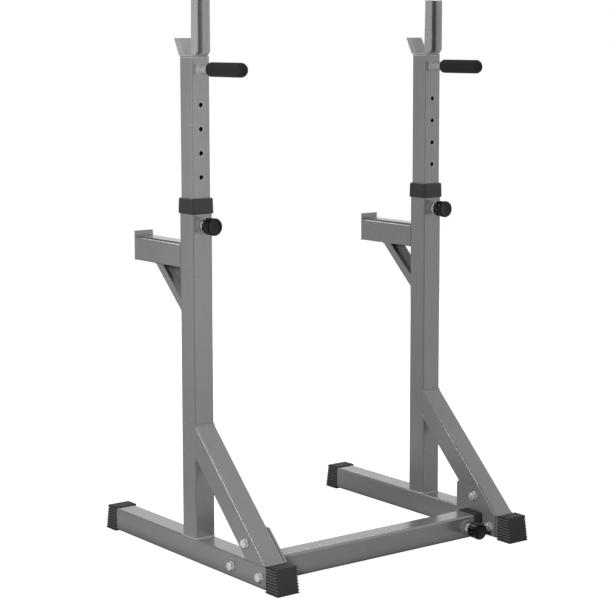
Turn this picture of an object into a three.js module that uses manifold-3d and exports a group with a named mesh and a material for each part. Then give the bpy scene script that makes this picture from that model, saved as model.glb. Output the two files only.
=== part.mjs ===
// Squat stand: two uprights on long feet, joined by a telescoping cross bar.
// Millimetres, +Z up. X runs across the stand, from the left stand (-X) to the right one (+X).
// +Y is the side of the spotter arms, -Y the side of the grips, braces and knobs.
// The origin is on the floor, midway between the stands and midway along the feet.
import * as THREE from "three";
import { mergeVertices } from "three/addons/utils/BufferGeometryUtils.js";
import Module from "manifold-3d";

const wasm = await Module();
wasm.setup();

// Shared clearances
const seat = 0.3;
const overrun = 10;

// Square tubes of the frame
const tubeSize = 50;
const tubeWall = 2;
const tubeCorner = 4.5;
const postPlay = 0.5;
const postWall = 2;
const postCorner = 3.5;

// Places of the stands
const uprightSpacing = 634;
const uprightSetback = 9;

// Feet and their rubber caps
const footLength = 636;
const capWall = 2.5;
const capEndWall = 5;
const capCover = 28;
const capFlare = 9;
const capSideFlare = 0.5;
const capRibDepth = 1.4;
const capCorner = 4;
const capRibCount = 9;
const levelsPerRib = 4;

// Uprights and their collars
const uprightTop = 775.5;
const collarHeight = 33;
const collarWall = 2;
const collarTopPlate = 2.5;
const collarFlare = 0.7;
const collarCorner = 5.5;

// Posts that slide in the uprights
const postLength = 760;
const holePitch = 50;
const holeCount = 13;
const restHoleIndex = 5;
const topHoleInset = 97.5;
const postHoleRadius = 5;
const topPlateThickness = 3;

// Diagonal braces
const braceTop = 299;
const braceInset = 31;

// Spotter arms
const armDrop = 96.5;
const armLength = 175;
const stopThickness = 5;
const stopRise = 14;
const stopTabWidth = 45;
const railWidth = 34;
const railThickness = 2.5;

// Folded gussets under the arms
const gussetReach = 106;
const gussetDrop = 99;
const gussetWidth = 40;
const gussetDepth = 20;
const gussetWall = 3;

// Bar catches on the posts
const catchWidth = 33;
const catchWall = 3;
const catchHeight = 120;
const catchDepth = 23;
const catchGap = 26;
const catchWebSetback = 11;
const catchChamfer = 9;
const lipHeight = 36.5;
const lipDepth = 18;
const lipLean = 19;

// Foam grips on their pegs
const gripDrop = 24;
const pegRadius = 10;
const pegWall = 2;
const pegLength = 145;
const pegRingRadius = 12.5;
const pegRingThickness = 3;
const foamRadius = 15;
const foamStart = 38;
const foamLength = 120;
const foamEndWall = 8;

// Spring pins with their knobs
const pinDrop = 54;
const rodRadius = 4;
const rodPlay = 0.5;
const rodReach = 9;
const rodTipChamfer = 1;
const shoulderRadius = 6.2;
const shoulderThickness = 2.5;
const housingFlangeRadius = 16;
const housingFlangeThickness = 4;
const housingRadius = 11;
const housingBoreRadius = 7;
const housingLength = 24;
const housingEndWall = 2.5;
const springRadius = 5.8;
const springWireRadius = 0.5;
const springTurns = 5;
const knobRadius = 18.5;
const knobWaistRadius = 14;
const knobLength = 27;
const knobStart = 20;
const knobCavityRadius = 12;
const knobEdge = 3;
const knobSocketDepth = 12;

// Cross bar, its plates and its bolts
const barInset = 99;
const plateThickness = 5;
const plateTop = 112;
const plateHalfWidth = 60;
const plateSideReach = 66;
const plateCorner = 8;
const plateFloorGap = 6;
const boltSpread = 50;
const braceBoltHeight = 87;
const boltRadius = 5;
const boltHoleRadius = 5.5;
const boltHeadFlats = 17;
const boltHeadHeight = 6.4;
const washerRadius = 10;
const washerThickness = 2;
const nutHeight = 8;
const threadReach = 4;
const bushThickness = 6;
const bushWall = 2.5;
const bushCover = 16;
const barEndGap = 8;
const innerBarLength = 450;
const innerBarHoleCount = 7;
const widthPinInset = 37.7;
const springClear = 0.3;

// Facets of the round forms
const cornerSteps = 2;
const holeSides = 12;
const roundSides = 20;
const springSides = 5;
const stepsPerTurn = 8;
const arcSteps = 4;

// Places worked out from the sizes above
const halfTube = tubeSize / 2;
const postSize = tubeSize - 2 * (tubeWall + postPlay);
const halfPost = postSize / 2;
const footBottom = capWall;
const footTop = footBottom + tubeSize;
const footMiddle = footBottom + halfTube;
const uprightY = -uprightSetback;
const uprightFront = uprightY + halfTube;
const uprightRear = uprightY - halfTube;
const pinHeight = uprightTop - pinDrop;
const postTop = pinHeight + restHoleIndex * holePitch + topHoleInset;
const armTop = uprightTop - armDrop;
const braceReach = footLength / 2 + uprightRear - braceInset;
const barY = barInset - footLength / 2;
const plateInset = halfTube + seat + plateThickness;
const outerBarStart = -uprightSpacing / 2 + plateInset + seat;
const outerBarEnd = uprightSpacing / 2 - plateInset - barEndGap;
const innerBarEnd = uprightSpacing / 2 - plateInset - seat;
const widthPinX = outerBarEnd - widthPinInset;

// Finishes
const paint = () => new THREE.MeshStandardMaterial({ color: 0x7d7f84, roughness: 0.42, metalness: 0.45 });
const postPaint = () => new THREE.MeshStandardMaterial({ color: 0x86888c, roughness: 0.4, metalness: 0.45 });
const blackPlastic = () => new THREE.MeshStandardMaterial({ color: 0x2b2b2d, roughness: 0.5, metalness: 0 });
const blackRubber = () => new THREE.MeshStandardMaterial({ color: 0x29292b, roughness: 0.8, metalness: 0 });
const foam = () => new THREE.MeshStandardMaterial({ color: 0x2e2e30, roughness: 0.95, metalness: 0 });
const zinc = () => new THREE.MeshStandardMaterial({ color: 0xd2d4d6, roughness: 0.25, metalness: 1 });
const springSteel = () => new THREE.MeshStandardMaterial({ color: 0xa9acb0, roughness: 0.35, metalness: 1 });

// Solids and booleans
function toSolid(geometry) {
  const bare = geometry.index ? geometry.toNonIndexed() : geometry.clone();
  bare.deleteAttribute("normal");
  bare.deleteAttribute("uv");
  const merged = mergeVertices(bare);
  const vertProperties = new Float32Array(merged.attributes.position.array);
  const triVerts = new Uint32Array(merged.index.array);
  return new wasm.Manifold(new wasm.Mesh({ numProp: 3, vertProperties, triVerts }));
}

function toGeometry(solid) {
  const mesh = solid.getMesh();
  const geometry = new THREE.BufferGeometry();
  geometry.setAttribute("position", new THREE.BufferAttribute(new Float32Array(mesh.vertProperties), 3));
  geometry.setIndex(new THREE.BufferAttribute(new Uint32Array(mesh.triVerts), 1));
  return geometry;
}

function cut(geometry, tools) {
  const result = tools.reduce((solid, tool) => solid.subtract(toSolid(tool)), toSolid(geometry));
  return toGeometry(result);
}

function join(geometries) {
  const [first, ...others] = geometries.map(toSolid);
  return toGeometry(others.reduce((solid, other) => solid.add(other), first));
}

// Turns geometry drawn along +Z so that it runs along another axis
const alongX = (geometry) => geometry.rotateY(Math.PI / 2);
const alongY = (geometry) => geometry.rotateX(-Math.PI / 2);

function box(width, depth, height, x, y, z) {
  return new THREE.BoxGeometry(width, depth, height).translate(x, y, z);
}

function cylinder(radius, length, sides = holeSides) {
  return new THREE.CylinderGeometry(radius, radius, length, sides).rotateX(Math.PI / 2);
}

function traceRoundedSquare(path, size, corner) {
  const reach = size / 2;
  const inner = reach - corner;
  path.moveTo(inner, -reach);
  path.absarc(inner, -inner, corner, -Math.PI / 2, 0);
  path.absarc(inner, inner, corner, 0, Math.PI / 2);
  path.absarc(-inner, inner, corner, Math.PI / 2, Math.PI);
  path.absarc(-inner, -inner, corner, Math.PI, 1.5 * Math.PI);
  path.closePath();
  return path;
}

function squareBar(size, corner, length) {
  const shape = traceRoundedSquare(new THREE.Shape(), size, corner);
  return new THREE.ExtrudeGeometry(shape, { depth: length, bevelEnabled: false, curveSegments: cornerSteps });
}

function squareTube(size, wall, corner, length) {
  const shape = traceRoundedSquare(new THREE.Shape(), size, corner);
  shape.holes.push(traceRoundedSquare(new THREE.Path(), size - 2 * wall, corner - wall));
  return new THREE.ExtrudeGeometry(shape, { depth: length, bevelEnabled: false, curveSegments: cornerSteps });
}

// A side outline of [y, z] points, extruded across X around a middle
function sidePlate(points, thickness, middleX) {
  const shape = new THREE.Shape(points.map(([y, z]) => new THREE.Vector2(y, z)));
  const plate = new THREE.ExtrudeGeometry(shape, { depth: thickness, bevelEnabled: false });
  plate.translate(0, 0, -thickness / 2);
  plate.rotateX(Math.PI / 2).rotateZ(Math.PI / 2);
  return plate.translate(middleX, 0, 0);
}

// Turned profiles of [radius, distance] points; the axis becomes -Y, measured from the plane y = 0
function turned(points, sides = roundSides) {
  const profile = points.map(([radius, distance]) => new THREE.Vector2(radius, distance));
  return new THREE.LatheGeometry(profile, sides).rotateX(Math.PI);
}

// Stacked outlines with the same number of points, joined into one closed solid
function stack(levels) {
  const count = levels[0].outline.length;
  const positions = levels.flatMap(({ outline, z }) => outline.flatMap((point) => [point.x, point.y, z]));
  const index = [];
  for (let level = 0; level + 1 < levels.length; level += 1) {
    for (let k = 0; k < count; k += 1) {
      const a = level * count + k;
      const b = level * count + ((k + 1) % count);
      index.push(a, b, b + count, a, b + count, a + count);
    }
  }
  const top = (levels.length - 1) * count;
  for (const [a, b, c] of THREE.ShapeUtils.triangulateShape(levels[0].outline, [])) {
    index.push(a, c, b, top + a, top + b, top + c);
  }
  const geometry = new THREE.BufferGeometry();
  geometry.setAttribute("position", new THREE.Float32BufferAttribute(positions, 3));
  geometry.setIndex(index);
  return geometry;
}

// A rectangle with cut corners, between two X and two Y places
function clippedRectangle(x0, x1, y0, y1, corner) {
  return [
    [x0 + corner, y0], [x1 - corner, y0], [x1, y0 + corner], [x1, y1 - corner],
    [x1 - corner, y1], [x0 + corner, y1], [x0, y1 - corner], [x0, y0 + corner],
  ].map(([x, y]) => new THREE.Vector2(x, y));
}

// Pieces are collected here under their names
const model = new THREE.Group();

function addPiece(name, geometry, material, place = [0, 0, 0]) {
  const mesh = new THREE.Mesh(geometry, material);
  mesh.name = name;
  mesh.position.set(...place);
  model.add(mesh);
}

// Foot tube with the bolt holes of the cross bar's plate
function footTube() {
  const tube = alongY(squareTube(tubeSize, tubeWall, tubeCorner, footLength));
  tube.translate(0, -footLength / 2, footMiddle);
  const drills = [-boltSpread, boltSpread].map((offset) =>
    alongX(cylinder(boltHoleRadius, tubeSize + overrun)).translate(0, barY + offset, footMiddle));
  return cut(tube, drills);
}

// Rubber cap on a foot's end: ribbed sides, smooth end, spreading towards the floor; end is -1 or 1 along Y
function footCap(end) {
  const height = tubeSize + 2 * capWall;
  const levelCount = levelsPerRib * capRibCount;
  const rimY = footLength / 2 - capCover;
  const endY = footLength / 2 + capEndWall;
  const levels = [];
  for (let k = 0; k <= levelCount; k += 1) {
    const lowShare = 1 - k / levelCount;
    const inGroove = [1, 2].includes(k % levelsPerRib);
    const ribInset = inGroove ? capRibDepth : 0;
    const halfWidth = halfTube + capWall + capSideFlare * lowShare - ribInset;
    const reach = endY + capFlare * lowShare;
    levels.push({
      outline: clippedRectangle(-halfWidth, halfWidth, rimY, reach, capCorner),
      z: (k * height) / levelCount,
    });
  }
  const pocket = alongY(squareBar(tubeSize + 2 * seat, tubeCorner, capCover + seat + overrun));
  pocket.translate(0, rimY - overrun, footMiddle);
  const cap = cut(stack(levels), [pocket]);
  return end > 0 ? cap : cap.rotateZ(Math.PI);
}

// Lower upright, with the spring pin's hole through its -Y wall
function uprightTube() {
  const bottom = footTop + seat;
  const tube = squareTube(tubeSize, tubeWall, tubeCorner, uprightTop - bottom).translate(0, uprightY, bottom);
  const drill = alongY(cylinder(rodRadius + rodPlay, tubeSize)).translate(0, uprightRear, pinHeight);
  return cut(tube, [drill]);
}

// Diagonal brace from the upright's -Y face down to the foot, with one bolt hole
function diagonalBrace() {
  const rise = braceTop - footTop;
  const slope = Math.atan2(rise, braceReach);
  const span = Math.hypot(rise, braceReach);
  const length = span + 2 * (tubeSize + tubeSize);
  const middleY = uprightRear - braceReach / 2 + (tubeSize / 2) * Math.sin(slope);
  const middleZ = footTop + rise / 2 - (tubeSize / 2) * Math.cos(slope);
  const tube = alongY(squareTube(tubeSize, tubeWall, tubeCorner, length));
  tube.translate(0, -length / 2, 0).rotateX(slope).translate(0, middleY, middleZ);
  const uprightSide = box(
    2 * tubeSize, length, 2 * length,
    0, uprightRear - seat + length / 2, middleZ,
  );
  const footSide = box(2 * tubeSize, 2 * length, length, 0, middleY, footTop + seat - length / 2);
  const drill = alongX(cylinder(boltHoleRadius, tubeSize + overrun)).translate(0, barY, braceBoltHeight);
  return cut(tube, [uprightSide, footSide, drill]);
}

// Collar on the upright's top, through which the post slides
function collar() {
  const bottom = uprightTop + collarTopPlate - collarHeight;
  const outer = tubeSize + 2 * (seat + collarWall);
  const points = (size) => traceRoundedSquare(new THREE.Shape(), size, collarCorner).getPoints(cornerSteps);
  const shell = stack([
    { outline: points(outer + 2 * collarFlare), z: bottom },
    { outline: points(outer), z: uprightTop + collarTopPlate },
  ]);
  const tubePocket = squareBar(tubeSize + 2 * seat, tubeCorner, collarHeight - collarTopPlate + seat + overrun);
  tubePocket.translate(0, 0, bottom - overrun);
  const postOpening = squareBar(postSize + 2 * seat, postCorner, collarHeight + overrun);
  postOpening.translate(0, 0, bottom);
  return cut(shell, [tubePocket, postOpening]).translate(0, uprightY, 0);
}

// Sliding post, with its row of height holes in the -Y wall
function postTube() {
  const tube = squareTube(postSize, postWall, postCorner, postLength);
  tube.translate(0, uprightY, postTop - postLength);
  const drills = Array.from({ length: holeCount }, (_, k) => {
    const z = postTop - topHoleInset - k * holePitch;
    return alongY(cylinder(postHoleRadius, postSize)).translate(0, uprightY - halfPost, z);
  });
  return cut(tube, drills);
}

// Square plate that closes the post's top
function postTopPlate() {
  const plate = squareBar(postSize, postCorner, topPlateThickness);
  return plate.translate(0, uprightY, postTop + seat);
}

// Bar catch: a tall channel open towards -Y, a base, and a leaning lip open towards +Y
function barCatch() {
  const base = postTop + topPlateThickness + 2 * seat;
  const floorZ = base + catchWall;
  const top = base + catchHeight;
  const webY = uprightY - catchWebSetback;
  const rearY = webY - catchDepth;
  const lipY = webY + catchGap;
  const outerLipY = lipY + lipDepth;
  const lipTop = base + lipHeight;
  const lean = (z) => (lipLean * (z - base)) / lipHeight;
  const outline = [
    [rearY + catchChamfer, base],
    [outerLipY, base],
    [outerLipY + lipLean, lipTop],
    [lipY + lipLean, lipTop],
    [lipY + lean(floorZ), floorZ],
    [webY, floorZ],
    [webY, top],
    [rearY, top],
    [rearY, base + catchChamfer],
  ];
  const pocketWidth = catchWidth - 2 * catchWall;
  const postPocket = box(
    pocketWidth, catchDepth, catchHeight,
    0, webY - catchWall - catchDepth / 2, floorZ + catchHeight / 2,
  );
  const lipPocketTop = lipTop + overrun;
  const lipPocket = sidePlate([
    [lipY + catchWall + lean(floorZ), floorZ],
    [outerLipY + overrun + lean(floorZ), floorZ],
    [outerLipY + overrun + lean(lipPocketTop), lipPocketTop],
    [lipY + catchWall + lean(lipPocketTop), lipPocketTop],
  ], pocketWidth, 0);
  return cut(sidePlate(outline, catchWidth, 0), [postPocket, lipPocket]);
}

// Steel peg on the post's -Y face, with a weld ring at its root
function gripPeg() {
  const inner = pegRadius - pegWall;
  return turned([
    [inner, seat],
    [pegRingRadius, seat],
    [pegRingRadius, seat + pegRingThickness],
    [pegRadius, seat + 2 * pegRingThickness],
    [pegRadius, pegLength],
    [inner, pegLength],
    [inner, seat],
  ]);
}

// Foam grip: a sleeve with a domed closed end
function foamGrip() {
  const end = foamStart + foamLength;
  const bore = pegRadius + seat;
  const dome = Array.from({ length: arcSteps + 1 }, (_, k) => {
    const angle = (k * Math.PI) / 2 / arcSteps;
    return [foamRadius * Math.sin(angle), end - foamRadius * (1 - Math.cos(angle))];
  });
  return turned([
    ...dome,
    [foamRadius, foamStart + pegRingThickness],
    [foamRadius - pegRingThickness / 2, foamStart],
    [bore, foamStart],
    [bore, end - foamEndWall],
    [0, end - foamEndWall],
  ].reverse());
}

// Spring pin: housing, sliding rod with a shoulder, spring and knob, drawn along -Y from the tube's face
function pinHousing() {
  const hole = rodRadius + rodPlay;
  return turned([
    [housingBoreRadius, seat],
    [housingFlangeRadius, seat],
    [housingFlangeRadius, housingFlangeThickness - seat],
    [housingRadius, housingFlangeThickness + seat],
    [housingRadius, housingLength],
    [hole, housingLength],
    [hole, housingLength - housingEndWall],
    [housingBoreRadius, housingLength - housingEndWall],
    [housingBoreRadius, seat],
  ]);
}

function pinRod() {
  const end = housingLength + knobSocketDepth;
  return turned([
    [0, -rodReach],
    [rodRadius - rodTipChamfer, -rodReach],
    [rodRadius, rodTipChamfer - rodReach],
    [rodRadius, seat],
    [shoulderRadius, seat],
    [shoulderRadius, seat + shoulderThickness],
    [rodRadius, seat + shoulderThickness],
    [rodRadius, end],
    [0, end],
  ], holeSides);
}

class Helix extends THREE.Curve {
  constructor(radius, start, length, turns) {
    super();
    Object.assign(this, { radius, start, length, turns });
  }

  getPoint(t, target = new THREE.Vector3()) {
    const angle = 2 * Math.PI * this.turns * t;
    const x = this.radius * Math.cos(angle);
    const z = this.radius * Math.sin(angle);
    return target.set(x, -(this.start + this.length * t), z);
  }
}

function pinSpring() {
  const start = seat + shoulderThickness + springWireRadius + springClear;
  const end = housingLength - housingEndWall - springWireRadius - springClear;
  const wire = new THREE.Shape(Array.from({ length: springSides }, (_, k) => {
    const angle = (2 * Math.PI * k) / springSides;
    return new THREE.Vector2(springWireRadius * Math.cos(angle), springWireRadius * Math.sin(angle));
  }));
  return new THREE.ExtrudeGeometry(wire, {
    steps: springTurns * stepsPerTurn,
    extrudePath: new Helix(springRadius, start, end - start, springTurns),
  });
}

function pinKnob() {
  const end = knobStart + knobLength;
  const bore = rodRadius + seat;
  const cavityEnd = housingLength + seat;
  return turned([
    [0, housingLength + knobSocketDepth + seat],
    [bore, housingLength + knobSocketDepth + seat],
    [bore, cavityEnd],
    [knobCavityRadius, cavityEnd],
    [knobCavityRadius, knobStart],
    [knobWaistRadius, knobStart],
    [knobWaistRadius, cavityEnd],
    [knobRadius, cavityEnd + knobEdge],
    [knobRadius, end - knobEdge],
    [knobRadius - knobEdge, end],
    [0, end],
  ]);
}

// Spotter arm, its end stop and the rail strip on top
function spotterArm() {
  const tube = alongY(squareTube(tubeSize, tubeWall, tubeCorner, armLength));
  return tube.translate(0, uprightFront + seat, armTop - halfTube);
}

// Plate that closes the arm, with a tab that stands above it
function spotterStop() {
  const tabEnd = stopTabWidth - halfTube;
  const bottom = armTop - tubeSize;
  const tabTop = armTop + stopRise;
  const outline = [
    [-halfTube, bottom], [halfTube, bottom], [halfTube, armTop],
    [tabEnd, armTop], [tabEnd, tabTop], [-halfTube, tabTop],
  ];
  const shape = new THREE.Shape(outline.map(([x, z]) => new THREE.Vector2(x, z)));
  const plate = new THREE.ExtrudeGeometry(shape, { depth: stopThickness, bevelEnabled: false });
  return plate.rotateX(Math.PI / 2).translate(0, uprightFront + armLength + 2 * seat + stopThickness, 0);
}

function armRail() {
  const length = armLength - 2 * railThickness;
  const middle = uprightFront + seat + armLength / 2;
  return box(railWidth, length, railThickness, 0, middle, armTop + seat + railThickness / 2);
}

// Folded gusset below the arm: a channel whose flanges face the corner
function armGusset() {
  const armBottom = armTop - tubeSize - seat;
  const cornerY = uprightFront + seat;
  const slope = Math.atan2(gussetDrop, gussetReach);
  const depthY = gussetDepth / Math.sin(slope);
  const depthZ = gussetDepth / Math.cos(slope);
  const wallY = gussetWall / Math.sin(slope);
  const wallZ = gussetWall / Math.cos(slope);
  const outline = [
    [cornerY, armBottom - gussetDrop],
    [cornerY + gussetReach, armBottom],
    [cornerY + gussetReach - depthY, armBottom],
    [cornerY, armBottom - gussetDrop + depthZ],
  ];
  const pocket = sidePlate([
    [cornerY - overrun, armBottom - gussetDrop + wallZ - overrun * Math.tan(slope)],
    [cornerY + gussetReach - wallY + overrun, armBottom + overrun * Math.tan(slope)],
    [cornerY + gussetReach - wallY + overrun, armBottom + 2 * gussetDrop],
    [cornerY - overrun, armBottom + 2 * gussetDrop],
  ], gussetWidth - 2 * gussetWall, 0);
  return cut(sidePlate(outline, gussetWidth, 0), [pocket]);
}

// Plate that carries the cross bar: bolted through the foot and the brace; side is -1 left, 1 right
function crossPlate(side) {
  const rise = braceTop - footTop;
  const braceLine = (y) => footTop + (rise * (y - uprightRear + braceReach)) / braceReach;
  const backY = barY + plateHalfWidth;
  const frontY = barY - plateSideReach;
  const slopeEndY = uprightRear - braceReach + ((plateTop - footTop) * braceReach) / rise;
  const arcStep = Math.PI / 2 / arcSteps;
  const corner = Array.from({ length: arcSteps + 1 }, (_, k) => [
    backY - plateCorner + plateCorner * Math.cos(k * arcStep),
    plateTop - plateCorner + plateCorner * Math.sin(k * arcStep),
  ]);
  const outline = [
    [frontY, plateFloorGap],
    [backY, plateFloorGap],
    ...corner,
    [slopeEndY, plateTop],
    [frontY, braceLine(frontY)],
  ];
  const middleX = side * (uprightSpacing / 2 - halfTube - seat - plateThickness / 2);
  const drillAt = ([y, z]) => alongX(cylinder(boltHoleRadius, plateThickness + overrun)).translate(middleX, y, z);
  return cut(sidePlate(outline, plateThickness, middleX), boltPlaces().map(drillAt));
}

function boltPlaces() {
  return [
    [barY, braceBoltHeight],
    [barY + boltSpread, footMiddle],
    [barY - boltSpread, footMiddle],
  ];
}

// Hex bolt through tube and plate, its head and washer on the stand's outer face; +X is outwards
function hexPrism(flats, height) {
  return new THREE.CylinderGeometry(flats / Math.sqrt(3), flats / Math.sqrt(3), height, 6).rotateX(Math.PI / 2);
}

function bolt() {
  const inner = -(halfTube + seat + plateThickness + seat + washerThickness + nutHeight + threadReach);
  const outer = halfTube + seat;
  const shank = cylinder(boltRadius, outer - inner + washerThickness, holeSides);
  shank.translate(0, 0, (outer + inner + washerThickness) / 2);
  const washer = cylinder(washerRadius, washerThickness, roundSides).translate(0, 0, outer + washerThickness / 2);
  const head = hexPrism(boltHeadFlats, boltHeadHeight);
  head.translate(0, 0, outer + washerThickness + boltHeadHeight / 2);
  return alongX(join([shank, washer, head]));
}

function nut() {
  const face = -(halfTube + seat + plateThickness + seat);
  const washer = cylinder(washerRadius, washerThickness, roundSides).translate(0, 0, face - washerThickness / 2);
  const body = hexPrism(boltHeadFlats, nutHeight).translate(0, 0, face - washerThickness - nutHeight / 2);
  const bore = cylinder(boltRadius + seat, 2 * (nutHeight + washerThickness) + overrun);
  bore.translate(0, 0, face - washerThickness);
  return alongX(cut(join([washer, body]), [bore]));
}

// Cross bar: an outer tube on the left stand and an inner one on the right
function outerBar() {
  const length = outerBarEnd - outerBarStart;
  const tube = alongX(squareTube(tubeSize, tubeWall, tubeCorner, length)).translate(outerBarStart, barY, footMiddle);
  const drill = alongY(cylinder(rodRadius + rodPlay, tubeSize)).translate(widthPinX, barY - halfTube, footMiddle);
  return cut(tube, [drill]);
}

function innerBar() {
  const start = innerBarEnd - innerBarLength;
  const tube = alongX(squareTube(postSize, postWall, postCorner, innerBarLength)).translate(start, barY, footMiddle);
  const drills = Array.from({ length: innerBarHoleCount }, (_, k) =>
    alongY(cylinder(postHoleRadius, postSize)).translate(widthPinX - k * holePitch, barY - halfPost, footMiddle));
  return cut(tube, drills);
}

// Bush on the outer bar's open end, guiding the inner bar
function barBush() {
  const outer = tubeSize + 2 * bushWall;
  const length = bushCover + bushThickness;
  const start = outerBarEnd - bushCover;
  const sleeve = alongX(squareBar(outer, collarCorner, length)).translate(start, barY, footMiddle);
  const tubePocket = alongX(squareBar(tubeSize + 2 * seat, tubeCorner, bushCover + seat + overrun));
  tubePocket.translate(start - overrun, barY, footMiddle);
  const opening = alongX(squareBar(postSize + 2 * seat, postCorner, length + overrun)).translate(start, barY, footMiddle);
  return cut(sleeve, [tubePocket, opening]);
}

function addPin(prefix, place) {
  addPiece(`${prefix}_pin_housing`, pinHousing(), zinc(), place);
  addPiece(`${prefix}_pin_rod`, pinRod(), zinc(), place);
  addPiece(`${prefix}_pin_spring`, pinSpring(), springSteel(), place);
  addPiece(`${prefix}_pin_knob`, pinKnob(), blackPlastic(), place);
}

function addStand(prefix, side) {
  const x = (side * uprightSpacing) / 2;
  addPiece(`${prefix}_foot_tube`, footTube(), paint(), [x, 0, 0]);
  addPiece(`${prefix}_foot_cap_front`, footCap(-1), blackRubber(), [x, 0, 0]);
  addPiece(`${prefix}_foot_cap_back`, footCap(1), blackRubber(), [x, 0, 0]);
  addPiece(`${prefix}_upright_tube`, uprightTube(), paint(), [x, 0, 0]);
  addPiece(`${prefix}_diagonal_brace`, diagonalBrace(), paint(), [x, 0, 0]);
  addPiece(`${prefix}_spotter_arm`, spotterArm(), paint(), [x, 0, 0]);
  addPiece(`${prefix}_spotter_stop`, spotterStop(), paint(), [x, 0, 0]);
  addPiece(`${prefix}_arm_rail`, armRail(), paint(), [x, 0, 0]);
  addPiece(`${prefix}_arm_gusset`, armGusset(), paint(), [x, 0, 0]);
  addPiece(`${prefix}_collar`, collar(), blackPlastic(), [x, 0, 0]);
  addPiece(`${prefix}_post_tube`, postTube(), postPaint(), [x, 0, 0]);
  addPiece(`${prefix}_post_top_plate`, postTopPlate(), postPaint(), [x, 0, 0]);
  addPiece(`${prefix}_bar_catch`, barCatch(), postPaint(), [x, 0, 0]);
  const gripPlace = [x, uprightY - halfPost, postTop - gripDrop];
  addPiece(`${prefix}_grip_peg`, gripPeg(), postPaint(), gripPlace);
  addPiece(`${prefix}_foam_grip`, foamGrip(), foam(), gripPlace);
  addPin(`${prefix}_height`, [x, uprightRear, pinHeight]);
  addPiece(`${prefix}_cross_plate`, crossPlate(side), paint());
  boltPlaces().forEach(([y, z], k) => {
    const boltMesh = side > 0 ? bolt() : bolt().rotateZ(Math.PI);
    const nutMesh = side > 0 ? nut() : nut().rotateZ(Math.PI);
    addPiece(`${prefix}_bolt_${k + 1}`, boltMesh, zinc(), [x, y, z]);
    addPiece(`${prefix}_nut_${k + 1}`, nutMesh, zinc(), [x, y, z]);
  });
}

addStand("left", -1);
addStand("right", 1);
addPiece("cross_bar_outer", outerBar(), paint());
addPiece("cross_bar_inner", innerBar(), postPaint());
addPiece("cross_bar_bush", barBush(), blackPlastic());
addPin("width", [widthPinX, barY - halfTube, footMiddle]);

export default model;
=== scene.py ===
"""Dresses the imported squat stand: its modelled pieces, their finishes, a studio and the camera.

Metres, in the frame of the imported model: X runs across from the left stand to the right one,
+Y is the side of the spotter arms and +Z is up.
"""

import logging
import math
from dataclasses import dataclass
from enum import Enum
from functools import cache
from typing import Callable, Iterable, Sequence

import bmesh
import bpy
from mathutils import Matrix, Vector

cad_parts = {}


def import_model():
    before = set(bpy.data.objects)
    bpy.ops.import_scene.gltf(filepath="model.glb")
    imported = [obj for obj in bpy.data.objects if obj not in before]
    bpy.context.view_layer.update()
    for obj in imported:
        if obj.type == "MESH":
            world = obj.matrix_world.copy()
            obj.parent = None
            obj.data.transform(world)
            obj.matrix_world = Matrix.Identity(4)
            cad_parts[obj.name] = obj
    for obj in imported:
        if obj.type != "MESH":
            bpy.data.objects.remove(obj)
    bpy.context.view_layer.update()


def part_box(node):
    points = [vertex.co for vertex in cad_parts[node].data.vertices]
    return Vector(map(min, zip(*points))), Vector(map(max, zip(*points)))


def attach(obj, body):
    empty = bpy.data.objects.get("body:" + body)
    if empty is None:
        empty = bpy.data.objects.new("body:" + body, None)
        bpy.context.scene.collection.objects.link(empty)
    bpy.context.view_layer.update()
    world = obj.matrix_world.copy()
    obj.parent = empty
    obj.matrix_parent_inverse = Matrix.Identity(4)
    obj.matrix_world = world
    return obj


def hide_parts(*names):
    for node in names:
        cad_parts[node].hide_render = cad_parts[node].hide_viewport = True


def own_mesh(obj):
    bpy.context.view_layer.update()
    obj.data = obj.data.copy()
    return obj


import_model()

log = logging.getLogger("squat_stand")

MM = 0.001

# How far a cutting tool reaches past a wall, the gap of a sliding fit, and how near counts as the same place.
OVERRUN = 10 * MM
FIT = 0.3 * MM
CLOSE = 0.1 * MM
TINY = 0.01 * MM

# Facets of turned forms, the angle from which an edge is sharp, and the one that leaves rounded bends alone.
ROUND_SIDES = 48
SMALL_SIDES = 32
SHARP_ANGLE = math.radians(32)
FOLD_ANGLE = math.radians(50)

# Radii of the holes for bolts and pins, and how deep a pin's hole is drilled.
BOLT_HOLE = 5.5 * MM
PIN_HOLE = 4.5 * MM
PIN_DRILL = 6 * MM

# Weld beads: spacing of points, ripple, depth in the part they run on, and how far inside or outside a
# frame tube's sides they run.
BEAD_STEP = 0.45 * MM
BEAD_SWELL = (0.86, 0.98, 1.08, 1.0)
SINK = 0.1 * MM
WELD_TUCK = 0.8 * MM
WELD_REACH = 0.2 * MM
WELD_CORNER = 5 * MM

# The knob's radii and distances from the tube, in millimetres, from its head round to its bore.
KNOB_PROFILE = (
    (0, 45.1), (6.5, 45.2), (11.5, 45.7), (13.2, 46.4), (14.4, 46.9), (15.6, 47.0), (16.9, 46.7), (18.0, 45.8),
    (18.5, 44.5), (18.5, 38.5), (18.3, 37.3), (17.6, 36.2), (16.9, 35.4), (16.6, 34.4), (16.6, 28.6),
    (16.8, 27.6), (17.3, 26.8), (17.6, 26.0), (17.6, 22.0), (17.3, 20.9), (16.4, 20.2), (15.4, 20.0),
    (12.6, 20.0), (12.0, 20.6), (12.0, 24.3), (4.3, 24.3), (4.3, 36.3), (0, 36.3),
)

Colour = tuple[float, float, float]
Profile = Sequence[tuple[float, float]]


class Axis(Enum):
    """The frame's axes, by their place in a vector."""

    X = 0
    Y = 1
    Z = 2

    @property
    def vector(self) -> Vector:
        """The unit vector along this axis."""
        return Vector([1.0 if k == self.value else 0.0 for k in range(3)])


class Side(Enum):
    """The two stands, with the sign of their place along X."""

    LEFT = -1
    RIGHT = 1

    def named(self, name: str) -> str:
        """The full name of this stand's node, body or piece."""
        return f"{self.name.lower()}_{name}"


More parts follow.
